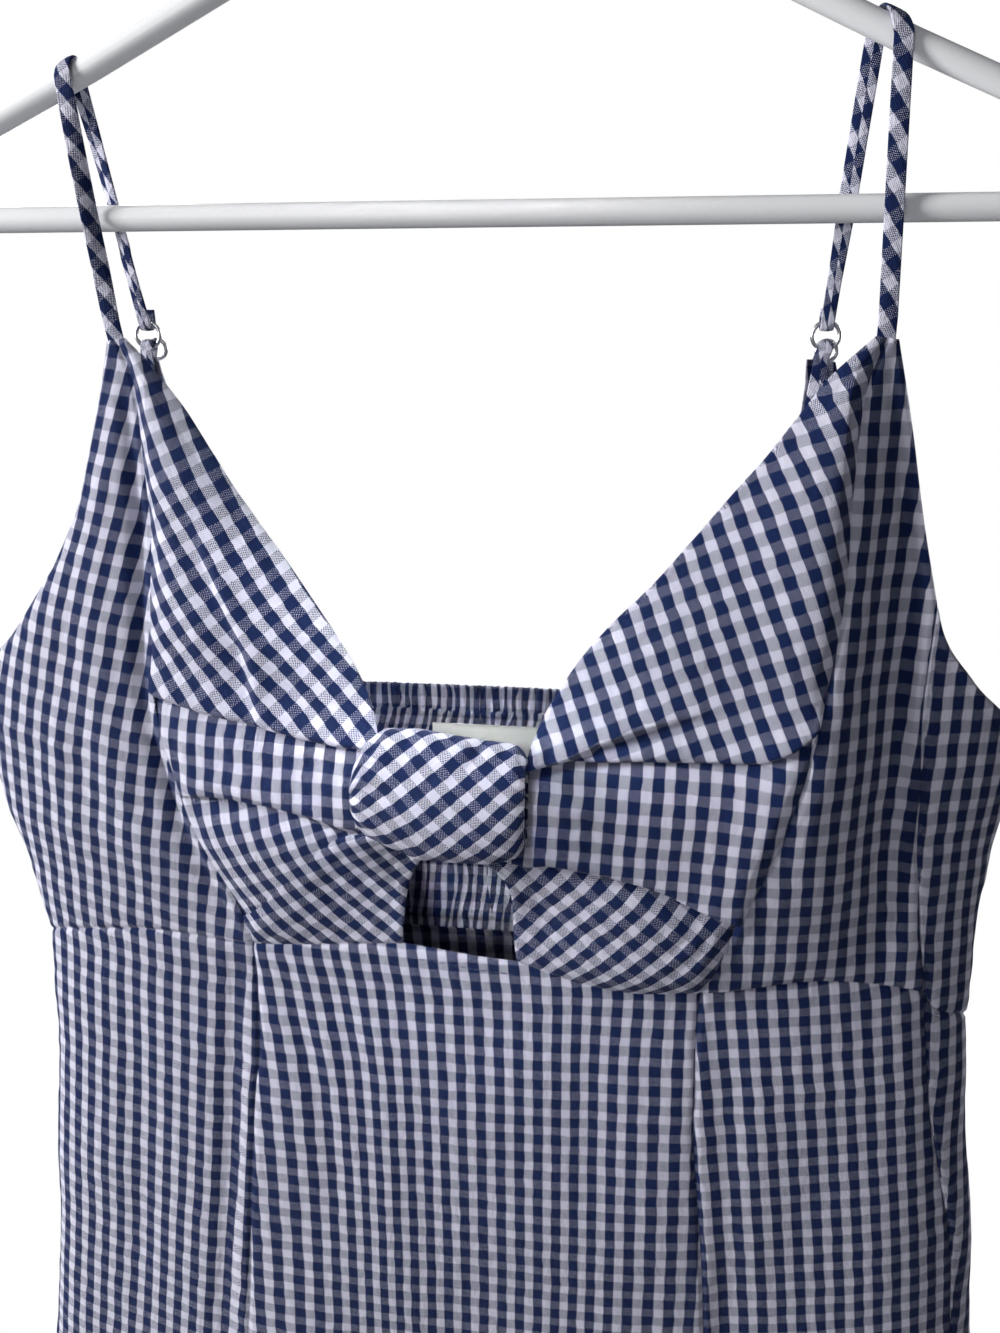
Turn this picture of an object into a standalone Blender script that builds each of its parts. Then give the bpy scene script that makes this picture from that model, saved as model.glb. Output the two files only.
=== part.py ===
# Strappy midi dress of checked cloth, on a tubular clothes hanger.
# Metres. X runs to the viewer's right, the front of the dress faces -Y, and Z is up.
# The origin is the inner top of the hanger's hook, where a rail would carry it.

import math
from collections import namedtuple

import bmesh
import bpy
from mathutils import Vector

MM = 0.001
COLLECTION_NAME = "midi_dress_on_hanger"

# Cloth
CLOTH = 1.4 * MM
SEAM_GAP = 0.5 * MM
HEM_Z = -1290.0
KNOT_X = -8.0  # the two halves of the bust meet here, behind the knot
KNOT_END_Z = (-386.0, -413.0)
RADIAN_LENGTH = 200.0  # millimetres of cloth along a turn of one radian, near enough for spacing
SIDE_SWELL = 3.0
SIDE_COLUMNS = 6
CUP_COLUMNS = 8
BEHIND_COLUMNS = 2
SKIRT_ROWS = 12
SKIRT_BACK_COLUMNS = 26

# Hanger
TUBE_RADIUS = 4.5 * MM
BAR_Z = -200.0 * MM
BAR_END_X = 205.0 * MM
PEAK_Z = -86.0 * MM
PEAK_RADIUS = 28.0 * MM
END_RADIUS = 13.0 * MM
ARM_START_X = 12.0 * MM
ARM_START_Z = -90.0 * MM
ARM_END_X = 193.0 * MM
ARM_END_Z = -175.0 * MM
ARM_SLOPE = (ARM_START_Z - ARM_END_Z) / (ARM_END_X - ARM_START_X)
HOOK_INNER_RADIUS = 20.0 * MM
HOOK_TUBE_RADIUS = 3.6 * MM
TOUCH_GAP = 0.3 * MM

# Straps and metal
STRAP_WIDTH = 6.3 * MM
STRAP_PINCH = 0.76  # share of its width where it is folded round the ring
STRAP_THICKNESS = 1.5 * MM
STRAP_CLEAR = 0.5 * MM
STRAP_TAIL = 9.0 * MM
RUN_STEPS = 7
TURN_STEPS = 8
RING_RADIUS = 4.7 * MM
RING_WIRE = 0.75 * MM
RING_STANDOFF = 2.2 * MM
LOOP_RADIUS = 2.5 * MM  # cloth folded round a ring's wire
SLIDER_RADIUS = 3.6 * MM
SLIDER_WIRE = 0.7 * MM
SLIDER_OFFSET = Vector((1.2, 4.6, -5.3)) * MM
TAB_FOOT_Z = -267.0

# The dress as a flattened tube, in millimetres at each height: where its middle hangs, its half width,
# and how far its front and back stand from the hanger's plane.
Section = namedtuple("Section", "z middle half_width front back")
SECTIONS = (
    Section(-225, 1.5, 206, 7, 8),
    Section(-241, 1.5, 206, 10, 9),
    Section(-300, 0, 207, 24, 13),
    Section(-350, -3, 208, 36, 17),
    Section(-390, -5, 207, 42, 20),
    Section(-430, -5, 201, 41, 21),
    Section(-460, -2.5, 197, 37, 22),
    Section(-496, 0, 195, 33, 22),
    Section(-540, 1, 198, 34, 23),
    Section(-625, 2, 208, 35, 25),
    Section(-900, 1, 246, 40, 33),
    Section(-1290, 0, 300, 50, 44),
)

# Seams and edges, as points of the garment in millimetres. Key 1 is the viewer's right, -1 the left.
# Where one table serves both sides it gives the right, and the left is its mirror image.
Pin = namedtuple("Pin", "x z")
EDGE = 999.0  # stands for the folded edge of the flattened tube, whatever its width there
STRAP_BASE = {1: (Pin(135.5, -241), Pin(139.5, -241.5), Pin(143.5, -242)),
              -1: (Pin(-132.7, -242), Pin(-136.6, -242.5), Pin(-140.5, -243))}
NECKLINE = {
    1: (STRAP_BASE[1][0], Pin(122, -253), Pin(112, -266), Pin(101, -281), Pin(90, -294),
        Pin(77, -310), Pin(64, -325), Pin(50, -339), Pin(38, -354), Pin(27, -373), Pin(21, -391)),
    -1: (STRAP_BASE[-1][0], Pin(-122, -253), Pin(-110, -266), Pin(-97, -283), Pin(-83, -302),
         Pin(-63, -327), Pin(-49, -345), Pin(-40, -359), Pin(-34, -371), Pin(-30, -384)),
}
CUP_SEAM_UPPER = {
    1: (STRAP_BASE[1][1], Pin(133, -260), Pin(130, -295), Pin(129.5, -320), Pin(127, -342),
        Pin(121, -372)),
    -1: (STRAP_BASE[-1][1], Pin(-129.5, -260), Pin(-124, -300), Pin(-123, -337), Pin(-123, -372)),
}
CUP_SEAM_MIDDLE = {
    1: (CUP_SEAM_UPPER[1][-1], Pin(119, -385), Pin(114.5, -404), Pin(108, -428), Pin(99.5, -449)),
    -1: (CUP_SEAM_UPPER[-1][-1], Pin(-117, -400), Pin(-112.5, -419), Pin(-105, -437), Pin(-93, -464)),
}
CUP_SEAM_LOWER = {1: (CUP_SEAM_MIDDLE[1][-1], Pin(95, -467), Pin(89, -483)),
                  -1: (CUP_SEAM_MIDDLE[-1][-1], Pin(-91.5, -471), Pin(-90, -477))}
UPPER_FOLD = {
    1: (NECKLINE[1][-1], Pin(32, -387), Pin(60, -386), Pin(102, -384), CUP_SEAM_UPPER[1][-1]),
    -1: (NECKLINE[-1][-1], Pin(-49, -385), Pin(-78, -381), Pin(-102, -377), CUP_SEAM_UPPER[-1][-1]),
}
BEHIND_KNOT = {1: (Pin(KNOT_X, -386), Pin(7, -389), NECKLINE[1][-1]),
               -1: (Pin(KNOT_X, -386), Pin(-20, -385), NECKLINE[-1][-1])}
LOWER_FOLD = {
    1: (Pin(KNOT_X, -413), Pin(8, -423), Pin(22, -428), Pin(32, -428), Pin(53, -432), Pin(70, -437),
        Pin(85, -444), CUP_SEAM_MIDDLE[1][-1]),
    -1: (Pin(KNOT_X, -413), Pin(-27, -416), Pin(-44, -419), Pin(-52, -424), Pin(-69, -442),
         Pin(-84, -457), CUP_SEAM_MIDDLE[-1][-1]),
}
KEYHOLE_SIDE = {
    1: (Pin(KNOT_X, -413), Pin(-4, -421), Pin(9, -430), Pin(16, -441), Pin(17, -458), Pin(18, -473.5)),
    -1: (Pin(KNOT_X, -413), Pin(-11, -421), Pin(-18, -430), Pin(-23, -442), Pin(-26, -459),
         Pin(-26.5, -469)),
}
KEYHOLE_BOTTOM = (KEYHOLE_SIDE[-1][-1], Pin(-12, -470.5), Pin(3, -472.5), KEYHOLE_SIDE[1][-1])
UNDER_CUP = {
    1: (KEYHOLE_SIDE[1][-1], Pin(41, -481.5), Pin(64, -485.5), CUP_SEAM_LOWER[1][-1]),
    -1: (KEYHOLE_SIDE[-1][-1], Pin(-45, -471), Pin(-66, -474), CUP_SEAM_LOWER[-1][-1]),
}
ARMHOLE = {
    1: (STRAP_BASE[1][2], Pin(150, -272), Pin(156, -302), Pin(163, -331)),
    -1: (STRAP_BASE[-1][2], Pin(-145.5, -271), Pin(-153, -301), Pin(-166, -328)),
}
ARMPIT = {
    1: (ARMHOLE[1][-1], Pin(167, -343), Pin(175, -354), Pin(187, -367), Pin(EDGE, -391)),
    -1: (ARMHOLE[-1][-1], Pin(-182, -349), Pin(-196, -363), Pin(-EDGE, -387)),
}
SIDE_SEAM = {
    1: (ARMHOLE[1][-1], Pin(161, -364), Pin(163, -401), Pin(168, -443), Pin(175.5, -486)),
    -1: (ARMPIT[-1][-1], Pin(-EDGE, -440), Pin(-EDGE, -496)),
}
WAIST = {
    1: (CUP_SEAM_LOWER[1][-1], Pin(126, -477.5), Pin(155, -480), SIDE_SEAM[1][-1]),
    -1: (CUP_SEAM_LOWER[-1][-1], Pin(-135, -477), Pin(-170, -484), SIDE_SEAM[-1][-1]),
}
WRAP_WAIST = (SIDE_SEAM[1][-1], Pin(178, -491), Pin(184, -496), Pin(EDGE, -502))
PRINCESS = {
    1: (CUP_SEAM_LOWER[1][-1], Pin(88, -502), Pin(89, -534), Pin(91, -570), Pin(118, -850),
        Pin(158, HEM_Z)),
    -1: (CUP_SEAM_LOWER[-1][-1], Pin(-90, -500), Pin(-91, -530), Pin(-97, -582), Pin(-122, -850),
         Pin(-158, HEM_Z)),
}
SKIRT_SIDE = {
    1: (SIDE_SEAM[1][-1], Pin(178, -506), Pin(182, -534), Pin(189, -566), Pin(201, -625),
        Pin(219, -760), Pin(239, -900), Pin(265, -1100), Pin(291, HEM_Z)),
    -1: (SIDE_SEAM[-1][-1], Pin(-EDGE, -900), Pin(-EDGE, HEM_Z)),
}

# Back of the bodice
BACK_POINT = {1: (Pin(115, -249), Pin(125, -249)), -1: (Pin(-126.5, -249), Pin(-134, -249))}
BACK_ARMHOLE = {
    1: (BACK_POINT[1][1], Pin(134, -281), Pin(145, -315), Pin(156, -347), Pin(174, -373),
        Pin(EDGE, ARMPIT[1][-1].z)),
    -1: (BACK_POINT[-1][1], Pin(-141, -275), Pin(-150, -308), Pin(-163, -342), Pin(-180, -370),
         Pin(-EDGE, ARMPIT[-1][-1].z)),
}
BACK_NECK = {
    1: (BACK_POINT[1][0], Pin(114.5, -267), Pin(108, -308), Pin(98, -340), Pin(87, -366),
        Pin(76, -379.5)),
    -1: (BACK_POINT[-1][0], Pin(-123.5, -262), Pin(-112, -302), Pin(-99, -338), Pin(-87, -366),
         Pin(-76, -379.5)),
}
BACK_PANEL_SIDE = (Pin(76, -379.5), Pin(72, -492))
BACK_WAIST = {
    1: (BACK_PANEL_SIDE[1], Pin(130, -496), Pin(175, -500), Pin(EDGE, -502)),
    -1: (Pin(-72, -492), Pin(-130, -494), Pin(-175, -496), Pin(-EDGE, -496)),
}
CASING_TOP = -379.5
CASING_BOTTOM = -392.0
SMOCKING_BOTTOM = -492.0
SMOCKING_ROWS = 9
SMOCKING_GATHERS = 16
SMOCKING_RISE = 1.5 * MM
CASING_GATHERS = 26

# Soft flutes of the skirt: the angle round the garment, their half width and their depth at the hem
Flute = namedtuple("Flute", "angle spread depth")
FLUTES = (
    Flute(-70, 12, 9), Flute(-44, 11, -6), Flute(-27, 12, 12), Flute(-4, 11, -7), Flute(15, 12, 9),
    Flute(34, 11, -7), Flute(54, 13, 12), Flute(92, 14, 8), Flute(118, 12, -7), Flute(141, 13, 11),
    Flute(168, 13, -8), Flute(192, 13, 10), Flute(217, 12, -7), Flute(238, 13, 11),
    Flute(262, 12, -6),
)
FLUTE_TOP_Z = -520.0

# How far each piece of the bust puffs out between its seams, and its gathers beside the knot
Puff = namedtuple("Puff", "rise start gather gathers")
PUFFS = {
    "upper": Puff(8.0, 0.0, 0.0, 1),
    "middle": Puff(6.5, 0.28, 1.6, 3),
    "lower": Puff(7.0, 0.26, 1.4, 2),
}

# Where each strap crosses the hanger's arm and meets its ring, in millimetres, and how far its front
# and back runs twist on their way, in degrees
Strap = namedtuple("Strap", "name side arm_x back_arm_x ring_x front_twist back_twist")
STRAPS = (
    Strap("L", -1, -148.0, -148.0, -131.0, 34.0, 48.0),
    Strap("R", 1, 136.5, 129.5, 121.5, -8.0, 14.0),
)
RING_Z = -241.0
LABEL_LEFT_X = -24.5
LABEL_WIDTH = 46.0
LABEL_TOP_Z = -396.0
LABEL_HEIGHT = 16.0
LABEL_THICKNESS = 1.0 * MM

# Knot: half its width, depth and height, and its middle
KNOT_HALF = Vector((0.0315, 0.0090, 0.0250))
KNOT_CENTRE = Vector((-0.0080, -0.0520, -0.3985))
KNOT_TILT = 1.5 * MM


def clear_scene():
    for item in list(bpy.data.objects):
        bpy.data.objects.remove(item, do_unlink=True)


def make_collection(name):
    collection = bpy.data.collections.new(name)
    bpy.context.scene.collection.children.link(collection)
    return collection


def make_material(name, colour, roughness, metallic=0.0):
    material = bpy.data.materials.new(name)
    material.use_nodes = True
    shader = material.node_tree.nodes["Principled BSDF"]
    shader.inputs["Base Color"].default_value = (*colour, 1.0)
    shader.inputs["Roughness"].default_value = roughness
    shader.inputs["Metallic"].default_value = metallic
    material.diffuse_color = (*colour, 1.0)
    return material


def cubic(before, start, end, after, fraction):
    # Smooth curve between start and end that leaves each along the line of its neighbours
    square = fraction * fraction
    cube = square * fraction
    return 0.5 * (2 * start + (end - before) * fraction
                  + (2 * before - 5 * start + 4 * end - after) * square
                  + (3 * start - before - 3 * end + after) * cube)


def section_value(z, column):
    rows = SECTIONS
    if z >= rows[0].z:
        return getattr(rows[0], column)
    for upper, lower in zip(rows, rows[1:]):
        if z >= lower.z:
            share = (upper.z - z) / (upper.z - lower.z)
            eased = share * share * (3 - 2 * share)
            mix = 0.5 * (share + eased)
            return getattr(upper, column) * (1 - mix) + getattr(lower, column) * mix
    return getattr(rows[-1], column)


def flute_relief(angle, z):
    if z >= FLUTE_TOP_Z:
        return 0.0
    share = (FLUTE_TOP_Z - z) / (FLUTE_TOP_Z - HEM_Z)
    degrees = math.degrees(angle)
    total = 0.0
    for flute in FLUTES:
        away = (degrees - flute.angle + 180) % 360 - 180
        total += flute.depth * math.exp(-(away / flute.spread) ** 2)
    return total * share ** 1.2


def ring_point(angle, z, out=0.0):
    # A point of the cloth's outer face: angle 0 is the centre front, a quarter turn is the right
    # edge and half a turn is the centre back. Out is in millimetres.
    half_width = section_value(z, "half_width")
    middle = section_value(z, "middle")
    depth = section_value(z, "front" if math.cos(angle) > 0 else "back")
    normal = Vector((math.sin(angle) * depth, -math.cos(angle) * half_width)).normalized()
    out += flute_relief(angle, z)
    x = middle + half_width * math.sin(angle) + normal.x * out
    y = -depth * math.cos(angle) + normal.y * out
    return Vector((x * MM, y * MM, z * MM))


def front_angle(x, z):
    share = (x - section_value(z, "middle")) / section_value(z, "half_width")
    return math.asin(max(-1.0, min(1.0, share)))


def back_angle(x, z):
    return math.pi - front_angle(x, z)


def mirrored(pins):
    return tuple(Pin(-pin.x, pin.z) for pin in pins)


def seam_line(pins, steps, face="front"):
    # Evenly spaced points along a smooth seam through the pins, as angle and height
    to_angle = front_angle if face == "front" else back_angle
    knots = [Vector((to_angle(pin.x, pin.z) * RADIAN_LENGTH, pin.z)) for pin in pins]
    dense = []
    parts = 12
    for index in range(len(knots) - 1):
        before = knots[max(index - 1, 0)]
        after = knots[min(index + 2, len(knots) - 1)]
        for part in range(parts):
            dense.append(cubic(before, knots[index], knots[index + 1], after, part / parts))
    dense.append(knots[-1])
    lengths = [0.0]
    for first, second in zip(dense, dense[1:]):
        lengths.append(lengths[-1] + (second - first).length)
    line = []
    place = 0
    for step in range(steps + 1):
        target = lengths[-1] * step / steps
        while place < len(dense) - 2 and lengths[place + 1] < target:
            place += 1
        span = max(lengths[place + 1] - lengths[place], 1e-9)
        point = dense[place].lerp(dense[place + 1], (target - lengths[place]) / span)
        line.append(Vector((point.x / RADIAN_LENGTH, point.y)))
    return line


def joined(*lines):
    result = list(lines[0])
    for line in lines[1:]:
        result.extend(line[1:])
    return result


def patch(top, bottom, left, right):
    # Grid of angle and height between four edges that meet at their corners
    columns = len(top) - 1
    rows = len(left) - 1
    grid = []
    for row in range(rows + 1):
        t = row / rows
        line = []
        for column in range(columns + 1):
            s = column / columns
            along = top[column] * (1 - t) + bottom[column] * t
            across = left[row] * (1 - s) + right[row] * s
            corners = (top[0] * (1 - s) * (1 - t) + top[-1] * s * (1 - t)
                       + bottom[0] * (1 - s) * t + bottom[-1] * s * t)
            line.append(along + across - corners)
        grid.append(line)
    return grid


def lift(grid, relief=None, inset=0.0):
    # The patch as points in space, drawn in by half a seam gap along each edge
    rows = len(grid) - 1
    columns = len(grid[0]) - 1
    points = []
    for row, line in enumerate(grid):
        out_line = []
        for column, place in enumerate(line):
            out = relief(column / columns, row / rows) if relief else 0.0
            out_line.append(ring_point(place.x, place.y, out - inset / MM))
        points.append(out_line)
    return drawn_in(points, 0.5 * SEAM_GAP)


def drawn_in(points, distance):
    moved = [list(line) for line in points]
    for line, source in zip(moved, points):
        line[0] = source[0] + (source[1] - source[0]).normalized() * distance
        line[-1] = source[-1] + (source[-2] - source[-1]).normalized() * distance
    for column in range(len(points[0])):
        first = points[1][column] - points[0][column]
        last = points[-2][column] - points[-1][column]
        moved[0][column] = moved[0][column] + first.normalized() * distance
        moved[-1][column] = moved[-1][column] + last.normalized() * distance
    return moved


def grid_faces(mesh, points, flip=False):
    verts = [[mesh.verts.new(point) for point in line] for line in points]
    for upper, lower in zip(verts, verts[1:]):
        for column in range(len(upper) - 1):
            corners = (upper[column], lower[column], lower[column + 1], upper[column + 1])
            mesh.faces.new(tuple(reversed(corners)) if flip else corners)
    return verts


def add_mesh_object(name, mesh_builder, material, collection, smooth=True):
    mesh = bpy.data.meshes.new(name)
    mesh_builder.normal_update()
    mesh_builder.to_mesh(mesh)
    mesh_builder.free()
    mesh.materials.append(material)
    if smooth:
        mesh.shade_smooth()
        mesh.set_sharp_from_angle(angle=math.radians(50))
    item = bpy.data.objects.new(name, mesh)
    collection.objects.link(item)
    return item


def make_wall(name, grid, material, collection, relief=None):
    # Cloth piece: its outer face, and the same face moved in by the thickness of the cloth
    make_loft(name, lift(grid, relief), lift(grid, relief, CLOTH), material, collection)


def make_loft(name, outer, inner, material, collection):
    # Closed wall between an outer and an inner grid of points
    builder = bmesh.new()
    front = grid_faces(builder, outer)
    back = grid_faces(builder, inner, flip=True)
    front_rim = rim_of(front)
    back_rim = rim_of(back)
    count = len(front_rim)
    for index in range(count):
        after = (index + 1) % count
        builder.faces.new((front_rim[after], front_rim[index], back_rim[index], back_rim[after]))
    bmesh.ops.recalc_face_normals(builder, faces=builder.faces)
    return add_mesh_object(name, builder, material, collection)


def rim_of(verts):
    rim = list(verts[0])
    rim += [line[-1] for line in verts[1:]]
    rim += list(reversed(verts[-1]))[1:]
    rim += [line[0] for line in reversed(verts)][1:-1]
    return rim


def puff_relief(puff):
    # The piece swells between its seams, and gathers fan out from where it leaves the knot

    def relief(s, t):
        across = max(0.0, (s - puff.start) / (1 - puff.start))
        swell = puff.rise * math.sin(math.pi * t) ** 0.8 * math.sin(math.pi * across) ** 0.7
        fan = max(0.0, 1 - across * 2.2) * min(1.0, across * 6)
        folds = puff.gather * math.sin(math.pi * t) * math.sin(2 * math.pi * puff.gathers * t)
        return swell + folds * fan

    return relief


def make_bust(name, lines, material, collection):
    upper_cup = patch(lines["cup_base"], lines["upper_fold"], lines["neckline"], lines["cup_upper"])
    middle_cup = patch(lines["middle_top"], lines["lower_fold"], lines["knot_end"], lines["cup_middle"])
    lower_cup = patch(lines["lower_fold"], lines["under_cup"], lines["keyhole"], lines["cup_lower"])
    grids = {"upper": upper_cup, "middle": middle_cup, "lower": lower_cup}
    for part, grid in grids.items():
        make_wall("cup_" + part + "_" + name, grid, material, collection, puff_relief(PUFFS[part]))


def bust_lines(side):
    columns = CUP_COLUMNS + BEHIND_COLUMNS
    upper_fold = seam_line(UPPER_FOLD[side], CUP_COLUMNS)
    knot_end = tuple(Pin(KNOT_X, z) for z in KNOT_END_Z)
    neckline_rows = 12
    return {
        "cup_base": seam_line(STRAP_BASE[side][:2], CUP_COLUMNS),
        "side_base": seam_line(STRAP_BASE[side][1:], SIDE_COLUMNS),
        "upper_fold": upper_fold,
        "middle_top": joined(seam_line(BEHIND_KNOT[side], BEHIND_COLUMNS), upper_fold),
        "lower_fold": seam_line(LOWER_FOLD[side], columns),
        "under_cup": seam_line(UNDER_CUP[side], columns),
        "neckline": seam_line(NECKLINE[side], neckline_rows),
        "cup_upper": seam_line(CUP_SEAM_UPPER[side], neckline_rows),
        "cup_middle": seam_line(CUP_SEAM_MIDDLE[side], 6),
        "cup_lower": seam_line(CUP_SEAM_LOWER[side], 5),
        "knot_end": seam_line(knot_end, 6),
        "keyhole": seam_line(KEYHOLE_SIDE[side], 5),
    }


def make_front(material, collection):
    seams = {}
    lines = {}
    for side, name in ((-1, "L"), (1, "R")):
        lines[side] = bust_lines(side)
        seams[side] = seam_line(PRINCESS[side], SKIRT_ROWS)
        make_bust(name, lines[side], material, collection)
        make_front_side(side, name, lines[side], material, collection)
    top = joined(list(reversed(lines[-1]["under_cup"])), seam_line(KEYHOLE_BOTTOM, 4),
                 lines[1]["under_cup"])
    bottom = straight(seams[-1][-1], seams[1][-1], len(top) - 1)
    make_wall("front_centre_skirt", patch(top, bottom, seams[-1], seams[1]), material, collection)


def straight(start, end, steps):
    return [start.lerp(end, step / steps) for step in range(steps + 1)]


def make_front_side(side, name, lines, material, collection):
    if side > 0:
        outer = joined(seam_line(ARMHOLE[1], 10), seam_line(SIDE_SEAM[1], 13))
    else:
        armhole = joined(seam_line(ARMHOLE[-1], 8), seam_line(ARMPIT[-1], 6))
        outer = joined(armhole, seam_line(SIDE_SEAM[-1], 9))
    inner = joined(lines["cup_upper"], lines["cup_middle"], lines["cup_lower"])
    waist = seam_line(WAIST[side], SIDE_COLUMNS)
    upper = patch(lines["side_base"], waist, inner, outer)
    princess = seam_line(PRINCESS[side], SKIRT_ROWS)
    side_seam = seam_line(SKIRT_SIDE[side], SKIRT_ROWS)
    hem = straight(princess[-1], side_seam[-1], SIDE_COLUMNS)
    lower = patch(waist, hem, princess, side_seam)
    make_wall("front_side_upper_" + name, upper, material, collection, side_relief)
    make_wall("front_side_skirt_" + name, lower, material, collection)


def side_relief(s, t):
    return SIDE_SWELL * math.sin(math.pi * s) * math.sin(math.pi * t) ** 0.7


def make_back(material, collection):
    for side, name in ((-1, "L"), (1, "R")):
        make_back_side(side, name, material, collection)
    make_back_centre(material, collection)
    make_back_skirt(material, collection)


def make_back_side(side, name, material, collection):
    panel_side = BACK_PANEL_SIDE if side > 0 else mirrored(BACK_PANEL_SIDE)
    inner = joined(seam_line(BACK_NECK[side], 7, "back"), seam_line(panel_side, 6, "back"))
    top = joined(seam_line(BACK_POINT[side], 2, "back"), seam_line(BACK_ARMHOLE[side], 8, "back"))
    bottom = seam_line(BACK_WAIST[side], 7, "back")
    outer = seam_line(SIDE_SEAM[side], len(inner) - 1)
    if side > 0:
        # This piece goes round the edge and ends on the front
        top = joined(top, list(reversed(seam_line(ARMPIT[1], 5))))
        bottom = joined(bottom, list(reversed(seam_line(WRAP_WAIST, 3))))
    else:
        top, bottom, inner, outer = (left_turn(line) for line in (top, bottom, inner, outer))
    bottom = resampled(bottom, len(top) - 1)
    make_wall("back_side_" + name, patch(top, bottom, inner, outer), material, collection)


def left_turn(line):
    # Angles of the left back count on from half a turn
    return [Vector((place.x if place.x > 0 else place.x + 2 * math.pi, place.y)) for place in line]


def resampled(line, steps):
    lengths = [0.0]
    for first, second in zip(line, line[1:]):
        turn_length = (second.x - first.x) * RADIAN_LENGTH
        step_length = Vector((turn_length, second.y - first.y)).length
        lengths.append(lengths[-1] + step_length)
    result = []
    place = 0
    for step in range(steps + 1):
        target = lengths[-1] * step / steps
        while place < len(line) - 2 and lengths[place + 1] < target:
            place += 1
        span = max(lengths[place + 1] - lengths[place], 1e-9)
        result.append(line[place].lerp(line[place + 1], (target - lengths[place]) / span))
    return result


def back_strip(top_z, bottom_z, columns, rows):
    # Grid of the centre back between the two side pieces
    left = straight(panel_edge(top_z, 1), panel_edge(bottom_z, 1), rows)
    right = straight(panel_edge(top_z, -1), panel_edge(bottom_z, -1), rows)
    top = straight(left[0], right[0], columns)
    bottom = straight(left[-1], right[-1], columns)
    return patch(top, bottom, left, right)


def panel_edge(z, side):
    top, bottom = (Vector((back_angle(pin.x * side, pin.z), pin.z)) for pin in BACK_PANEL_SIDE)
    return top.lerp(bottom, (top.y - z) / (top.y - bottom.y))


def smocked(s, t):
    puff = math.sin(math.pi * SMOCKING_ROWS * t) ** 2
    gather = 0.5 - 0.5 * math.cos(2 * math.pi * SMOCKING_GATHERS * s)
    return SMOCKING_RISE / MM * puff * gather


def gathered(s, t):
    gather = 0.5 - 0.5 * math.cos(2 * math.pi * CASING_GATHERS * s)
    return SMOCKING_RISE / MM * gather * math.sin(math.pi * t)


def make_back_centre(material, collection):
    casing = back_strip(CASING_TOP, CASING_BOTTOM, 2 * CASING_GATHERS, 2)
    make_loft("back_casing", lift(casing, gathered), lift(casing, None, CLOTH), material, collection)
    panel = back_strip(CASING_BOTTOM, SMOCKING_BOTTOM, 2 * SMOCKING_GATHERS, 2 * SMOCKING_ROWS)
    make_loft("back_smocked_panel", lift(panel, smocked), lift(panel, None, CLOTH), material,
              collection)


def make_back_skirt(material, collection):
    right_seam = seam_line(SKIRT_SIDE[1], SKIRT_ROWS)
    left_seam = left_turn(seam_line(SKIRT_SIDE[-1], SKIRT_ROWS))
    right_top = seam_line(BACK_WAIST[1], 7, "back")
    left_top = left_turn(seam_line(BACK_WAIST[-1], 7, "back"))
    across = straight(right_top[0], left_top[0], 6)
    top = joined(seam_line(WRAP_WAIST, 3), list(reversed(right_top)), across, left_top)
    top = resampled(top, SKIRT_BACK_COLUMNS)
    hem = straight(right_seam[-1], left_seam[-1], SKIRT_BACK_COLUMNS)
    make_wall("back_skirt", patch(top, hem, right_seam, left_seam), material, collection)


def label_place(column, row, inset):
    x = LABEL_LEFT_X + LABEL_WIDTH * column
    z = LABEL_TOP_Z - LABEL_HEIGHT * row
    return ring_point(back_angle(x, z), z, -inset / MM)


def make_label(material, collection):
    columns = [step / 8 for step in range(9)]
    rows = [step / 2 for step in range(3)]
    outer_inset = CLOTH + TOUCH_GAP
    inner_inset = outer_inset + LABEL_THICKNESS
    outer = [[label_place(column, row, outer_inset) for column in columns] for row in rows]
    inner = [[label_place(column, row, inner_inset) for column in columns] for row in rows]
    make_loft("label_blank", outer, inner, material, collection)


def make_knot(material, collection):
    # Band of cloth wrapped round the gathered ends of the bust: a puffed sleeve, open at each end
    around = 16
    along = 6
    points = []
    for row in range(around):
        turn = 2 * math.pi * row / around
        line = []
        for column in range(along + 1):
            s = 2.0 * column / along - 1.0
            waist = 1.0 - 0.16 * abs(s) ** 2.5
            tuck = 1.0 + 0.03 * math.cos(7 * turn) * abs(s)
            front = max(0.0, -math.cos(turn))
            depth = KNOT_HALF.y * (1.0 + 0.25 * front) * (0.80 + 0.20 * (1 - s * s))
            height = KNOT_HALF.z * waist * tuck
            y = KNOT_CENTRE.y + depth * superround(math.cos(turn))
            z = KNOT_CENTRE.z + height * superround(math.sin(turn)) - KNOT_TILT * s
            line.append(Vector((KNOT_CENTRE.x + KNOT_HALF.x * s, y, z)))
        points.append(line)
    builder = bmesh.new()
    verts = [[builder.verts.new(point) for point in line] for line in points]
    for row in range(around):
        after = (row + 1) % around
        for column in range(along):
            builder.faces.new((verts[row][column], verts[row][column + 1],
                               verts[after][column + 1], verts[after][column]))
    bmesh.ops.recalc_face_normals(builder, faces=builder.faces)
    item = add_mesh_object("knot", builder, material, collection)
    solid = item.modifiers.new("wall", "SOLIDIFY")
    solid.thickness = CLOTH
    solid.offset = -1.0
    solid.use_even_offset = True


def superround(value):
    # Cosine or sine of a rounded oblong
    return math.copysign(abs(value) ** 0.75, value)


def tube_curve(name, points, radius, material, collection, cyclic=False, sides=3):
    curve = bpy.data.curves.new(name, "CURVE")
    curve.dimensions = "3D"
    curve.bevel_depth = radius
    curve.bevel_resolution = sides
    curve.use_fill_caps = not cyclic
    spline = curve.splines.new("POLY")
    spline.points.add(len(points) - 1)
    for slot, point in zip(spline.points, points):
        slot.co = (*point, 1.0)
    spline.use_cyclic_u = cyclic
    curve.materials.append(material)
    item = bpy.data.objects.new(name, curve)
    collection.objects.link(item)
    return item


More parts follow.
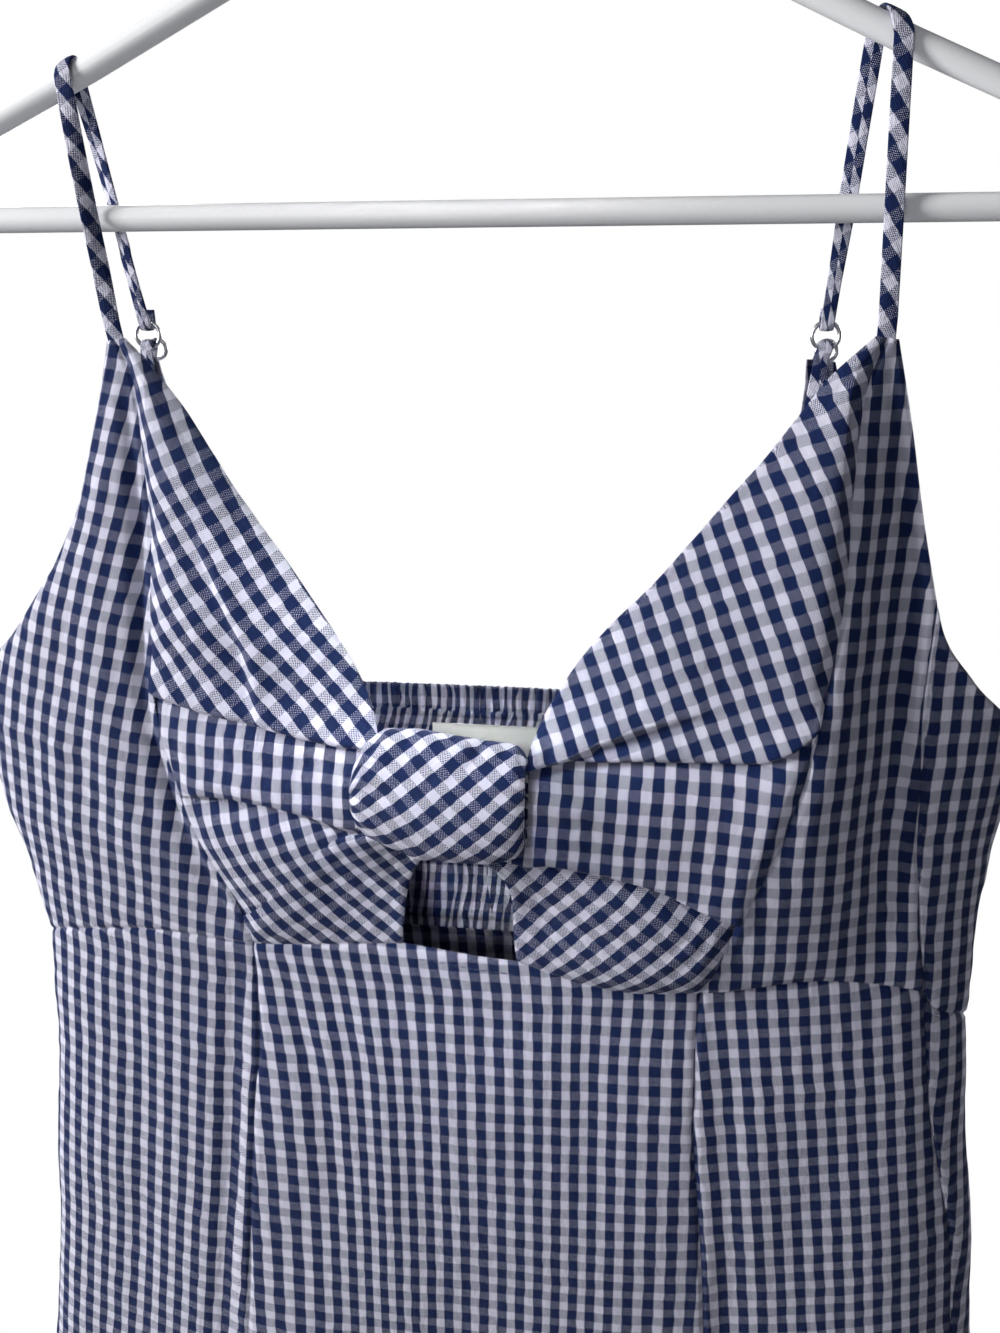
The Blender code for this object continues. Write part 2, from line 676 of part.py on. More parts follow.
def arc(centre_x, centre_z, radius, start, end, steps):
    points = []
    for step in range(steps + 1):
        angle = math.radians(start + (end - start) * step / steps)
        points.append(Vector((centre_x + radius * math.cos(angle), 0.0,
                              centre_z + radius * math.sin(angle))))
    return points


def arm_height(x):
    return ARM_START_Z - ARM_SLOPE * (abs(x) - ARM_START_X)


def make_hanger(material, collection):
    tilt = math.degrees(math.atan(ARM_SLOPE))
    corner_x = BAR_END_X - END_RADIUS
    corner_z = BAR_Z + END_RADIUS
    right = arc(0.0, PEAK_Z - PEAK_RADIUS, PEAK_RADIUS, 90, 90 - tilt, 4)[1:]
    right += [Vector((x * MM, 0.0, arm_height(x * MM))) for x in (40, 90, 140)]
    right += arc(corner_x, corner_z, END_RADIUS, 90 - tilt, -90, 8)
    right += [Vector((x * MM, 0.0, BAR_Z)) for x in (150, 100, 50)]
    left = [Vector((-point.x, 0.0, point.z)) for point in reversed(right)]
    loop = [Vector((0.0, 0.0, PEAK_Z))] + right + [Vector((0.0, 0.0, BAR_Z))] + left
    tube_curve("hanger_frame", loop, TUBE_RADIUS, material, collection, cyclic=True)
    bend = HOOK_INNER_RADIUS + HOOK_TUBE_RADIUS
    hook = arc(0.0, -HOOK_INNER_RADIUS, bend, -38, 205, 20)
    start = hook[0]
    foot_z = PEAK_Z + TUBE_RADIUS + TOUCH_GAP
    stem = [Vector((0.0, 0.0, foot_z)), Vector((0.0, 0.0, foot_z + 6 * MM)),
            Vector((0.05 * start.x, 0.0, foot_z + 12 * MM)),
            Vector((0.33 * start.x, 0.0, foot_z + 18 * MM)),
            Vector((0.70 * start.x, 0.0, start.z - 7 * MM))]
    tube_curve("hanger_hook", stem + hook, HOOK_TUBE_RADIUS, material, collection)


def make_ribbon(name, frames, widths, material, collection):
    # Flat strip along frames of a point, the direction of its width and the direction it faces
    builder = bmesh.new()
    loops = []
    rise = 0.5 * STRAP_THICKNESS
    for (point, across, facing), width in zip(frames, widths):
        half = 0.5 * width
        corners = ((-half, -rise), (half, -rise), (half, rise), (-half, rise))
        loops.append([builder.verts.new(point + across * u + facing * v) for u, v in corners])
    for first, second in zip(loops, loops[1:]):
        for corner in range(4):
            after = (corner + 1) % 4
            builder.faces.new((first[corner], first[after], second[after], second[corner]))
    builder.faces.new(loops[0])
    builder.faces.new(tuple(reversed(loops[-1])))
    bmesh.ops.recalc_face_normals(builder, faces=builder.faces)
    return add_mesh_object(name, builder, material, collection)


def strap_frames(strap):
    # Up the front of the bar, over the arm and down behind it, then round the ring's upper wire
    hug = TUBE_RADIUS + STRAP_CLEAR + 0.5 * STRAP_THICKNESS
    slope = math.atan(ARM_SLOPE) * strap.side
    base = STRAP_BASE[strap.side][1]
    base_y = ring_point(front_angle(base.x, base.z), base.z).y
    start = Vector((base.x * MM, base_y, STRAP_BASE[strap.side][0].z * MM + TOUCH_GAP))
    arm_x = strap.arm_x * MM
    back_x = strap.back_arm_x * MM
    top_wire = ring_centre(strap) + Vector((0.0, 0.0, RING_RADIUS))
    down = top_wire - Vector((0.0, LOOP_RADIUS, 0.0))
    frames = []
    for step in range(RUN_STEPS):
        share = step / RUN_STEPS
        point = start.lerp(Vector((arm_x, -hug, arm_height(arm_x))), share)
        twist = math.radians(strap.front_twist) * math.sin(math.pi * share)
        point.y = min(point.y, -hug - edge_reach(twist))
        frames.append((point, slope * max(0.0, (share - 0.55) / 0.45), twist))
    for step in range(TURN_STEPS + 1):
        share = step / TURN_STEPS
        turn = math.pi * (1 - share)
        x = arm_x + (back_x - arm_x) * share
        rise = hug * math.sin(turn) / math.cos(slope)
        frames.append((Vector((x, hug * math.cos(turn), arm_height(x) + rise)), slope, 0.0))
    for step in range(1, RUN_STEPS):
        share = step / RUN_STEPS
        point = Vector((back_x, hug, arm_height(back_x))).lerp(down, share)
        twist = math.radians(strap.back_twist) * math.sin(math.pi * share)
        if point.z > BAR_Z - 12 * MM:
            point.y = max(point.y, hug + edge_reach(twist))
        frames.append((point, slope * max(0.0, (0.45 - share) / 0.45), twist))
    frames += [(point, 0.0, 0.0) for point in ring_fold(top_wire, math.pi)]
    frames.append((top_wire + Vector((0.0, LOOP_RADIUS, STRAP_TAIL)), 0.0, 0.0))
    return facing_frames(frames)


def edge_reach(twist):
    # How far a twisted strap's edge stands out from its middle
    return 0.5 * STRAP_WIDTH * abs(math.sin(twist))


def ring_fold(wire, first_turn):
    # Half a turn of cloth round a ring's wire
    points = []
    for step in range(TURN_STEPS + 1):
        turn = first_turn + math.pi * step / TURN_STEPS
        points.append(wire + Vector((0.0, math.cos(turn), math.sin(turn))) * LOOP_RADIUS)
    return points


def facing_frames(frames):
    # Each point with its width direction and facing, from its tilt in the hanger's plane and its twist
    result = []
    for index, (point, tilt, twist) in enumerate(frames):
        before = frames[max(index - 1, 0)][0]
        after = frames[min(index + 1, len(frames) - 1)][0]
        along = (after - before).normalized()
        facing = along.cross(Vector((math.cos(tilt), 0.0, -math.sin(tilt)))).normalized()
        across = facing.cross(along).normalized()
        turned = across * math.cos(twist) + facing * math.sin(twist)
        result.append((point, turned, along.cross(turned).normalized()))
    return result


def ring_centre(strap):
    face = ring_point(back_angle(strap.ring_x, RING_Z), RING_Z).y
    return Vector((strap.ring_x * MM, face + RING_STANDOFF, RING_Z * MM))


def make_straps(material, collection):
    for strap in STRAPS:
        frames = strap_frames(strap)
        count = len(frames)
        widths = []
        for index in range(count):
            pinch = min(1.0, max(0.0, (count - 10 - index) / 4))
            widths.append(STRAP_WIDTH * (STRAP_PINCH + (1 - STRAP_PINCH) * pinch))
        make_ribbon("strap_" + strap.name, frames, widths, material, collection)


def make_metal(metal, cloth, collection):
    for strap in STRAPS:
        ring = ring_centre(strap)
        make_ring("strap_ring_" + strap.name, ring, RING_RADIUS, RING_WIRE, metal, collection)
        make_ring("strap_slider_" + strap.name, ring + SLIDER_OFFSET, SLIDER_RADIUS, SLIDER_WIRE,
                  metal, collection)
        make_tab(strap, ring, cloth, collection)


def make_ring(name, centre, radius, wire, material, collection):
    points = []
    count = 16
    for index in range(count):
        turn = 2 * math.pi * index / count
        points.append(centre + Vector((radius * math.cos(turn), 0.0, radius * math.sin(turn))))
    tube_curve(name, points, wire, material, collection, cyclic=True, sides=1)


def make_tab(strap, ring, material, collection):
    # Folded tab: up the outside of the back point, through the ring and down its inside
    low_wire = ring - Vector((0.0, 0.0, RING_RADIUS))
    first, last = BACK_POINT[strap.side]
    middle_x = 0.5 * (first.x + last.x)
    clear = TOUCH_GAP + 0.5 * STRAP_THICKNESS
    legs = {}
    for leg, out in (("outer", clear), ("inner", -CLOTH - clear)):
        legs[leg] = [ring_point(back_angle(middle_x, z), z, out / MM) for z in (TAB_FOOT_Z, first.z)]
    points = legs["outer"] + ring_fold(low_wire, 0.0) + list(reversed(legs["inner"]))
    frames = facing_frames([(point, 0.0, 0.0) for point in points])
    widths = []
    for index in range(len(points)):
        away = abs(2 * index / (len(points) - 1) - 1)
        spread = max(0.0, (away - 0.55) / 0.45)
        widths.append(STRAP_WIDTH * (STRAP_PINCH + (1.5 - STRAP_PINCH) * spread))
    make_ribbon("back_tab_" + strap.name, frames, widths, material, collection)


def main():
    clear_scene()
    collection = make_collection(COLLECTION_NAME)
    cloth = make_material("gingham_cloth", (0.16, 0.19, 0.36), 0.85)
    plastic = make_material("hanger_plastic", (0.86, 0.88, 0.90), 0.30)
    metal = make_material("polished_metal", (0.78, 0.78, 0.80), 0.22, 1.0)
    tape = make_material("label_tape", (0.62, 0.65, 0.60), 0.75)
    make_hanger(plastic, collection)
    make_front(cloth, collection)
    make_back(cloth, collection)
    make_knot(cloth, collection)
    make_label(tape, collection)
    make_straps(cloth, collection)
    make_metal(metal, cloth, collection)


main()
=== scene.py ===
# Looks of a strappy checked midi dress on its white tubular hanger.
# Every cloth piece is a thin shell on the form of its imported solid, with creases placed one by one.
import math

import bmesh
import bpy
import numpy as np
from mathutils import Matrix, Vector


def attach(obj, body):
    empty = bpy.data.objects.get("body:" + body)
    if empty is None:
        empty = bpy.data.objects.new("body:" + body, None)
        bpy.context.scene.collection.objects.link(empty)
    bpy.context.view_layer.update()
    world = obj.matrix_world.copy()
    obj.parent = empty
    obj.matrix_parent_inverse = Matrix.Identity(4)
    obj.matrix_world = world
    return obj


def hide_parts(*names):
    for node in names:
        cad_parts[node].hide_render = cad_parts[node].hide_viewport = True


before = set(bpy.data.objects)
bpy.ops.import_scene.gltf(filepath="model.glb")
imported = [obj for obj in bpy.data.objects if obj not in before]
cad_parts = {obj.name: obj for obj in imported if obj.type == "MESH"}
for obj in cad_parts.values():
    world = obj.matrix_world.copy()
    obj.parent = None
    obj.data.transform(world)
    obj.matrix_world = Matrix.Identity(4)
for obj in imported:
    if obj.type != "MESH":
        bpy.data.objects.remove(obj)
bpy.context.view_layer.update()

print("frame loaded:", len(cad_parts), "nodes")

mm = 0.001

# The dress is a flattened tube. Millimetres: z, middle, half width, front depth, back depth
sections = np.array([
    (-225, 1.5, 206, 7, 8), (-241, 1.5, 206, 10, 9), (-300, 0, 207, 24, 13),
    (-350, -3, 208, 36, 17), (-390, -5, 207, 42, 20), (-430, -5, 201, 41, 21),
    (-460, -2.5, 197, 37, 22), (-496, 0, 195, 33, 22), (-540, 1, 198, 34, 23),
    (-625, 2, 208, 35, 25), (-900, 1, 246, 40, 33), (-1290, 0, 300, 50, 44),
], float)
# columns: angle round the garment, half width in degrees, depth at the hem
flutes = (
    (-70, 12, 9), (-44, 11, -6), (-27, 12, 12), (-4, 11, -7), (15, 12, 9), (34, 11, -7),
    (54, 13, 12), (92, 14, 8), (118, 12, -7), (141, 13, 11), (168, 13, -8), (192, 13, 10),
    (217, 12, -7), (238, 13, 11), (262, 12, -6),
)
# radianLength is how many millimetres of a seam one radian round the garment counts as
form = {"fluteTop": -520.0, "hem": -1290.0, "fluteGrowth": 1.2, "radianLength": 200.0}

# Seams and edges as (x, z) of the garment. Key 1 is the viewer's right, -1 the left.
# An x of 999 is the garment's own side, wherever that is at its height.
strapBase = {1: [(135.5, -241), (139.5, -241.5), (143.5, -242)],
             -1: [(-132.7, -242), (-136.6, -242.5), (-140.5, -243)]}
neckline = {
    1: [strapBase[1][0], (122, -253), (112, -266), (101, -281), (90, -294), (77, -310), (64, -325),
        (50, -339), (38, -354), (27, -373), (21, -391)],
    -1: [strapBase[-1][0], (-122, -253), (-110, -266), (-97, -283), (-83, -302), (-63, -327),
         (-49, -345), (-40, -359), (-34, -371), (-30, -384)],
}
cupSeamUpper = {
    1: [strapBase[1][1], (133, -260), (130, -295), (129.5, -320), (127, -342), (121, -372)],
    -1: [strapBase[-1][1], (-129.5, -260), (-124, -300), (-123, -337), (-123, -372)],
}
cupSeamMiddle = {
    1: [cupSeamUpper[1][-1], (119, -385), (114.5, -404), (108, -428), (99.5, -449)],
    -1: [cupSeamUpper[-1][-1], (-117, -400), (-112.5, -419), (-105, -437), (-93, -464)],
}
cupSeamLower = {1: [cupSeamMiddle[1][-1], (95, -467), (89, -483)],
                -1: [cupSeamMiddle[-1][-1], (-91.5, -471), (-90, -477)]}
upperFold = {
    1: [neckline[1][-1], (32, -387), (60, -386), (102, -384), cupSeamUpper[1][-1]],
    -1: [neckline[-1][-1], (-49, -385), (-78, -381), (-102, -377), cupSeamUpper[-1][-1]],
}
lowerFold = {
    1: [(-8, -413), (8, -423), (22, -428), (32, -428), (53, -432), (70, -437), (85, -444),
        cupSeamMiddle[1][-1]],
    -1: [(-8, -413), (-27, -416), (-44, -419), (-52, -424), (-69, -442), (-84, -457),
         cupSeamMiddle[-1][-1]],
}
keyholeSide = {
    1: [(-8, -413), (-4, -421), (9, -430), (16, -441), (17, -458), (18, -473.5)],
    -1: [(-8, -413), (-11, -421), (-18, -430), (-23, -442), (-26, -459), (-26.5, -469)],
}
keyholeBottom = [keyholeSide[-1][-1], (-12, -470.5), (3, -472.5), keyholeSide[1][-1]]
underCup = {
    1: [keyholeSide[1][-1], (41, -481.5), (64, -485.5), cupSeamLower[1][-1]],
    -1: [keyholeSide[-1][-1], (-45, -471), (-66, -474), cupSeamLower[-1][-1]],
}
armhole = {1: [strapBase[1][2], (150, -272), (156, -302), (163, -331)],
           -1: [strapBase[-1][2], (-145.5, -271), (-153, -301), (-166, -328)]}
armpit = {1: [armhole[1][-1], (167, -343), (175, -354), (187, -367), (999, -391)],
          -1: [armhole[-1][-1], (-182, -349), (-196, -363), (-999, -387)]}
sideSeam = {1: [armhole[1][-1], (161, -364), (163, -401), (168, -443), (175.5, -486)],
            -1: [armpit[-1][-1], (-999, -440), (-999, -496)]}
waist = {1: [cupSeamLower[1][-1], (126, -477.5), (155, -480), sideSeam[1][-1]],
         -1: [cupSeamLower[-1][-1], (-135, -477), (-170, -484), sideSeam[-1][-1]]}
wrapWaist = [sideSeam[1][-1], (178, -491), (184, -496), (999, -502)]
princess = {
    1: [cupSeamLower[1][-1], (88, -502), (89, -534), (91, -570), (118, -850), (158, -1290)],
    -1: [cupSeamLower[-1][-1], (-90, -500), (-91, -530), (-97, -582), (-122, -850), (-158, -1290)],
}
skirtSide = {
    1: [sideSeam[1][-1], (178, -506), (182, -534), (189, -566), (201, -625), (219, -760),
        (239, -900), (265, -1100), (291, -1290)],
    -1: [sideSeam[-1][-1], (-999, -900), (-999, -1290)],
}
backPoint = {1: [(115, -249), (125, -249)], -1: [(-126.5, -249), (-134, -249)]}
backArmhole = {
    1: [backPoint[1][1], (134, -281), (145, -315), (156, -347), (174, -373), (999, -391)],
    -1: [backPoint[-1][1], (-141, -275), (-150, -308), (-163, -342), (-180, -370), (-999, -387)],
}
backNeck = {
    1: [backPoint[1][0], (114.5, -267), (108, -308), (98, -340), (87, -366), (76, -379.5)],
    -1: [backPoint[-1][0], (-123.5, -262), (-112, -302), (-99, -338), (-87, -366), (-76, -379.5)],
}
panelSide = {1: [(76, -379.5), (72, -492)], -1: [(-76, -379.5), (-72, -492)]}
backWaist = {1: [(72, -492), (130, -496), (175, -500), (999, -502)],
             -1: [(-72, -492), (-130, -494), (-175, -496), (-999, -496)]}


def sectionValue(z, column):
    # Width or depth of the tube at each height, eased between the rows of the table
    z = np.clip(z, sections[-1, 0], sections[0, 0])
    index = np.clip(np.searchsorted(-sections[:, 0], -z, side="right") - 1, 0, len(sections) - 2)
    share = (sections[index, 0] - z) / (sections[index, 0] - sections[index + 1, 0])
    mix = 0.5 * (share + share * share * (3 - 2 * share))
    return sections[index, column] * (1 - mix) + sections[index + 1, column] * mix


def fluteRelief(angle, z):
    share = np.clip((form["fluteTop"] - z) / (form["fluteTop"] - form["hem"]), 0, 1)
    degrees = np.degrees(angle)
    total = np.zeros_like(degrees)
    for place, spread, depth in flutes:
        away = (degrees - place + 180) % 360 - 180
        total += depth * np.exp(-(away / spread) ** 2)
    return total * share ** form["fluteGrowth"]


def ringPoint(angle, z, out=0.0):
    # Points of the cloth's outer face: angle 0 is the centre front, out is in millimetres
    angle, z = np.broadcast_arrays(np.asarray(angle, float), np.asarray(z, float))
    half = sectionValue(z, 2)
    depth = np.where(np.cos(angle) > 0, sectionValue(z, 3), sectionValue(z, 4))
    normalX, normalY = np.sin(angle) * depth, -np.cos(angle) * half
    size = np.hypot(normalX, normalY)
    out = out + fluteRelief(angle, z)
    x = sectionValue(z, 1) + half * np.sin(angle) + normalX / size * out
    y = -depth * np.cos(angle) + normalY / size * out
    return np.stack([x, y, z], -1) * mm


def frontAngle(x, z):
    share = (x - sectionValue(z, 1)) / sectionValue(z, 2)
    return np.arcsin(np.clip(share, -1, 1))


def seamPath(pins, face="front", parts=16):
    # Smooth seam through the pins, as evenly spaced rows of angle and height
    pins = np.array(pins, float)
    angle = frontAngle(pins[:, 0], pins[:, 1])
    if face != "front":
        angle = np.pi - angle
    knots = np.stack([angle * form["radianLength"], pins[:, 1]], -1)
    f = (np.arange(parts) / parts)[:, None]
    dense = []
    for index in range(len(knots) - 1):
        before, start = knots[max(index - 1, 0)], knots[index]
        end, after = knots[index + 1], knots[min(index + 2, len(knots) - 1)]
        dense.append(0.5 * (2 * start + (end - before) * f
                            + (2 * before - 5 * start + 4 * end - after) * f ** 2
                            + (3 * start - before - 3 * end + after) * f ** 3))
    dense.append(knots[-1:])
    path = np.concatenate(dense) / (form["radianLength"], 1)
    return evenPath(path)


def evenPath(path, count=240):
    step = np.hypot(np.diff(path[:, 0]) * form["radianLength"], np.diff(path[:, 1]))
    length = np.concatenate([[0], np.cumsum(step)])
    wanted = np.linspace(0, length[-1], count + 1)
    return np.stack([np.interp(wanted, length, path[:, 0]), np.interp(wanted, length, path[:, 1])], -1)


def joinPaths(*paths):
    return evenPath(np.concatenate([paths[0]] + [path[1:] for path in paths[1:]]))


def pathAt(path, f):
    place = np.linspace(0, 1, len(path))
    return np.stack([np.interp(f, place, path[:, 0]), np.interp(f, place, path[:, 1])], -1)


def straightPath(start, end):
    f = np.linspace(0, 1, 241)[:, None]
    return start * (1 - f) + end * f


def leftTurn(path):
    # Angles of the left back count on from half a turn
    return np.stack([np.where(path[:, 0] > 0, path[:, 0], path[:, 0] + 2 * np.pi), path[:, 1]], -1)


def pathLength(path):
    return float(runLength(ringPoint(path[:, 0], path[:, 1]))[-1])


def runLength(points):
    # Length of the way along a row of points to each of them, in millimetres
    return np.concatenate([[0], np.cumsum(np.linalg.norm(np.diff(points, axis=0), axis=1))]) / mm


def spacedShares(length, step):
    # Shares of a line, closer together beside its two ends
    near = np.array([0, 0.3, 0.7, 1.3, 2.2, 3.4])
    near = near[near < 0.3 * length]
    start = near[-1]
    count = max(2, int(round((length - 2 * start) / step)))
    middle = np.linspace(start, length - start, count + 1)
    return np.concatenate([near[:-1], middle, (length - near[:-1])[::-1]]) / length


def coonsGrid(top, bottom, left, right, step, columnStep=None):
    # Angle and height between four edges that meet at their corners
    s = spacedShares(max(pathLength(top), pathLength(bottom)), columnStep or step)
    t = spacedShares(max(pathLength(left), pathLength(right)), step)
    sGrid, tGrid = np.meshgrid(s, t)
    f, g = sGrid[..., None], tGrid[..., None]
    along = pathAt(top, s)[None] * (1 - g) + pathAt(bottom, s)[None] * g
    across = pathAt(left, t)[:, None] * (1 - f) + pathAt(right, t)[:, None] * f
    corners = (top[0] * ((1 - f) * (1 - g)) + top[-1] * (f * (1 - g))
               + bottom[0] * ((1 - f) * g) + bottom[-1] * (f * g))
    return along + across - corners, sGrid, tGrid


def softNoise(x, y, size, seed):
    # Smooth random field from -1 to 1, one feature about every size millimetres
    lattice = np.random.default_rng(seed).uniform(-1, 1, (64, 64))
    x, y = x / size, y / size
    column, row = np.floor(x).astype(int), np.floor(y).astype(int)
    fx, fy = x - column, y - row
    fx, fy = fx * fx * (3 - 2 * fx), fy * fy * (3 - 2 * fy)

    def corner(dx, dy):
        return lattice[(row + dy) % 64, (column + dx) % 64]

    upper = corner(0, 0) * (1 - fx) + corner(1, 0) * fx
    lower = corner(0, 1) * (1 - fx) + corner(1, 1) * fx
    return upper * (1 - fy) + lower * fy


def creaseRelief(x, z, points, depth, width, farWidth=None):
    # Trough along a line of (x, z) points, fading at both ends. Its right side, seen along the line, may
    # have a width of its own. A depth below nought makes a ridge.
    points = np.array(points, float)
    best = np.full(x.shape, 1e9)
    side = np.ones(x.shape)
    share = np.zeros(x.shape)
    legs = np.linalg.norm(np.diff(points, axis=0), axis=1)
    run = np.concatenate([[0], np.cumsum(legs)]) / legs.sum()
    for index in range(len(points) - 1):
        start, leg = points[index], points[index + 1] - points[index]
        f = np.clip(((x - start[0]) * leg[0] + (z - start[1]) * leg[1]) / (leg @ leg), 0, 1)
        awayX, awayZ = x - start[0] - f * leg[0], z - start[1] - f * leg[1]
        away = np.hypot(awayX, awayZ)
        nearer = away < best
        best = np.where(nearer, away, best)
        side = np.where(nearer, np.sign(leg[0] * awayZ - leg[1] * awayX), side)
        share = np.where(nearer, run[index] + f * (run[index + 1] - run[index]), share)
    reach = np.where(side < 0, farWidth or width, width)
    fade = np.sin(np.pi * np.clip(share, 0.02, 0.98)) ** 0.6
    return -depth * np.exp(-(best / reach) ** 2) * fade


def softStep(value, low, high):
    share = np.clip((value - low) / (high - low), 0, 1)
    return share * share * (3 - 2 * share)


def sideOfLine(x, z, points):
    # Height above a line that runs from left to right
    points = np.array(points, float)
    return z - np.interp(x, points[:, 0], points[:, 1])


def gridSpans(points):
    # Distance of every grid point from each edge, along the cloth, in millimetres
    across = np.linalg.norm(np.diff(points, axis=1), axis=2) / mm
    down = np.linalg.norm(np.diff(points, axis=0), axis=2) / mm
    left = np.concatenate([np.zeros((points.shape[0], 1)), np.cumsum(across, axis=1)], 1)
    top = np.concatenate([np.zeros((1, points.shape[1])), np.cumsum(down, axis=0)], 0)
    return {"left": left, "right": left[:, -1:] - left, "top": top, "bottom": top[-1:] - top}


# How the edges of a piece are finished, in millimetres: a seam sinks in and puckers beside it, a hem is a
# turned edge with a stitched line, a lip rolls over its neighbour, and an under edge runs in below one
edgeFinish = {
    "seam": {"sink": 1.1, "width": 1.3, "pucker": 0.55, "puckerAt": 4.5, "puckerWidth": 3.2,
             "puckerSize": 4.5},
    "hem": {"sink": 0.5, "width": 0.7, "line": 0.35, "lineAt": 5.5, "lineWidth": 0.9},
    "lip": {"rise": 3.2, "width": 9.0, "roll": 2.6},
    "under": {"sink": 2.4, "width": 8.0},
}


def edgeRelief(distance, run, style, seed):
    look = edgeFinish[style]
    hump = np.exp(-(distance / look["width"]) ** 2)
    if style == "seam":
        pucker = 0.5 + 0.5 * softNoise(run, distance * 0.2, look["puckerSize"], seed)
        beside = np.exp(-((distance - look["puckerAt"]) / look["puckerWidth"]) ** 2)
        return -look["sink"] * hump - look["pucker"] * pucker * beside
    if style == "hem":
        line = look["line"] * np.exp(-((distance - look["lineAt"]) / look["lineWidth"]) ** 2)
        return -look["sink"] * hump - line
    if style == "lip":
        bend = ((look["roll"] - distance) / look["roll"]).clip(0, 1)
        return look["rise"] * hump - look["roll"] * (1 - np.sqrt(np.clip(1 - bend ** 2, 0, 1)))
    return -look["sink"] * hump


# columns: height, size of one feature, squeeze up and down, slant
crinkleSizes = ((0.16, 3.2, 0.55, 0.0), (0.22, 7.5, 0.7, 0.3), (0.75, 34.0, 0.8, 0.0))


def crinkle(x, z, seed, strength=1.0):
    # Small puckers of the cloth, from single threads to slow waves
    total = sum(height * softNoise(x + slant * z, z * squeeze, size, seed + index)
                for index, (height, size, squeeze, slant) in enumerate(crinkleSizes))
    return strength * total


flattening = {"grid": 40, "rounds": 260, "push": 0.22}


def flattenPattern(points, start):
    # Lays the surface flat: the grid keeps its real lengths, so the check runs as the cut cloth would
    rows, columns = (
        np.unique(np.linspace(0, size - 1, min(size, flattening["grid"])).round().astype(int))
        for size in points.shape[:2])
    coarse = points[np.ix_(rows, columns)] / mm
    flat = start[np.ix_(rows, columns)].copy()
    pairs = [(np.s_[:, :-1], np.s_[:, 1:]), (np.s_[:-1], np.s_[1:]),
             (np.s_[:-1, :-1], np.s_[1:, 1:]), (np.s_[:-1, 1:], np.s_[1:, :-1])]
    lengths = [np.linalg.norm(coarse[b] - coarse[a], axis=-1) for a, b in pairs]
    for turn in range(flattening["rounds"]):
        push = np.zeros_like(flat)
        for (a, b), length in zip(pairs, lengths):
            gap = flat[b] - flat[a]
            size = np.maximum(np.linalg.norm(gap, axis=-1), 1e-6)
            move = gap * (0.5 * (1 - length / size))[..., None]
            push[a] += move
            push[b] -= move
        flat += push * flattening["push"]
    full = np.empty(points.shape[:2] + (2,))
    allRows, allColumns = np.arange(points.shape[0]), np.arange(points.shape[1])
    for axis in range(2):
        tall = np.stack([np.interp(allRows, rows, line) for line in flat[..., axis].T], 1)
        full[..., axis] = np.stack([np.interp(allColumns, columns, line) for line in tall], 0)
    return full


def arcLength(angle, z):
    # Length round the tube from the centre front, in millimetres
    steps = np.linspace(0, 1, 25)
    turn = angle[..., None] * steps
    half = sectionValue(z, 2)[..., None]
    depth = np.where(np.cos(turn) > 0, sectionValue(z, 3)[..., None], sectionValue(z, 4)[..., None])
    speed = np.sqrt((half * np.cos(turn)) ** 2 + (depth * np.sin(turn)) ** 2)
    return np.sum(0.5 * (speed[..., 1:] + speed[..., :-1]), -1) * angle / 24


def turned(places, tilt):
    # Pattern places whose warp leans by tilt degrees, to the right at its top
    lean = math.radians(tilt)
    x, z = places[..., 0], places[..., 1]
    return np.stack([x * math.cos(lean) - z * math.sin(lean), x * math.sin(lean) + z * math.cos(lean)], -1)


def fanPattern(x, z, fan):
    # Pattern places whose warp bends round a far-off point
    away = np.hypot(x - fan["x"], z - fan["z"])
    turn = np.arctan2(fan["z"] - z, fan["x"] - x)
    return np.stack([fan["radius"] - away, -fan["radius"] * turn], -1)


def surfaceNormals(points):
    across = np.gradient(points, axis=1)
    down = np.gradient(points, axis=0)
    normal = np.cross(down, across)
    return normal / np.maximum(np.linalg.norm(normal, axis=-1, keepdims=True), 1e-12)


def newObject(name, verts, faces, uvs=None):
    mesh = bpy.data.meshes.new(name)
    mesh.from_pydata(np.asarray(verts).reshape(-1, 3).tolist(), [], [list(face) for face in faces])
    if uvs is not None:
        layer = mesh.uv_layers.new(name="cloth")
        corner = np.empty(len(mesh.loops), np.int32)
        mesh.loops.foreach_get("vertex_index", corner)
        layer.data.foreach_set("uv", np.asarray(uvs, np.float32).reshape(-1, 2)[corner].ravel())
    mesh.polygons.foreach_set("use_smooth", np.ones(len(mesh.polygons), bool))
    mesh.set_sharp_from_angle(angle=math.radians(62))
    mesh.update()
    piece = bpy.data.objects.new(name, mesh)
    bpy.context.scene.collection.objects.link(piece)
    return piece


def shellFaces(rows, columns, flip):
    index = np.arange(rows * columns).reshape(rows, columns)
    outer = np.stack([index[:-1, :-1], index[1:, :-1], index[1:, 1:], index[:-1, 1:]], -1).reshape(-1, 4)
    inner = outer[:, ::-1] + rows * columns
    rim = np.concatenate([index[0], index[1:, -1], index[-1, -2::-1], index[-2:0:-1, 0]])
    after = np.roll(rim, -1)
    sides = np.stack([rim, after, after + rows * columns, rim + rows * columns], -1)
    faces = np.concatenate([outer, inner, sides])
    return faces[:, ::-1] if flip else faces


def shellObject(name, outer, outward, thickness, pattern):
    # Closed thin shell: the outer points and the same points moved in by the cloth's thickness
    normal = surfaceNormals(outer)
    flip = (normal * outward).sum() < 0
    inner = outer - normal * (-thickness if flip else thickness)
    verts = np.concatenate([outer.reshape(-1, 3), inner.reshape(-1, 3)])
    uvs = np.concatenate([pattern.reshape(-1, 2)] * 2) * mm
    return newObject(name, verts, shellFaces(outer.shape[0], outer.shape[1], flip), uvs)


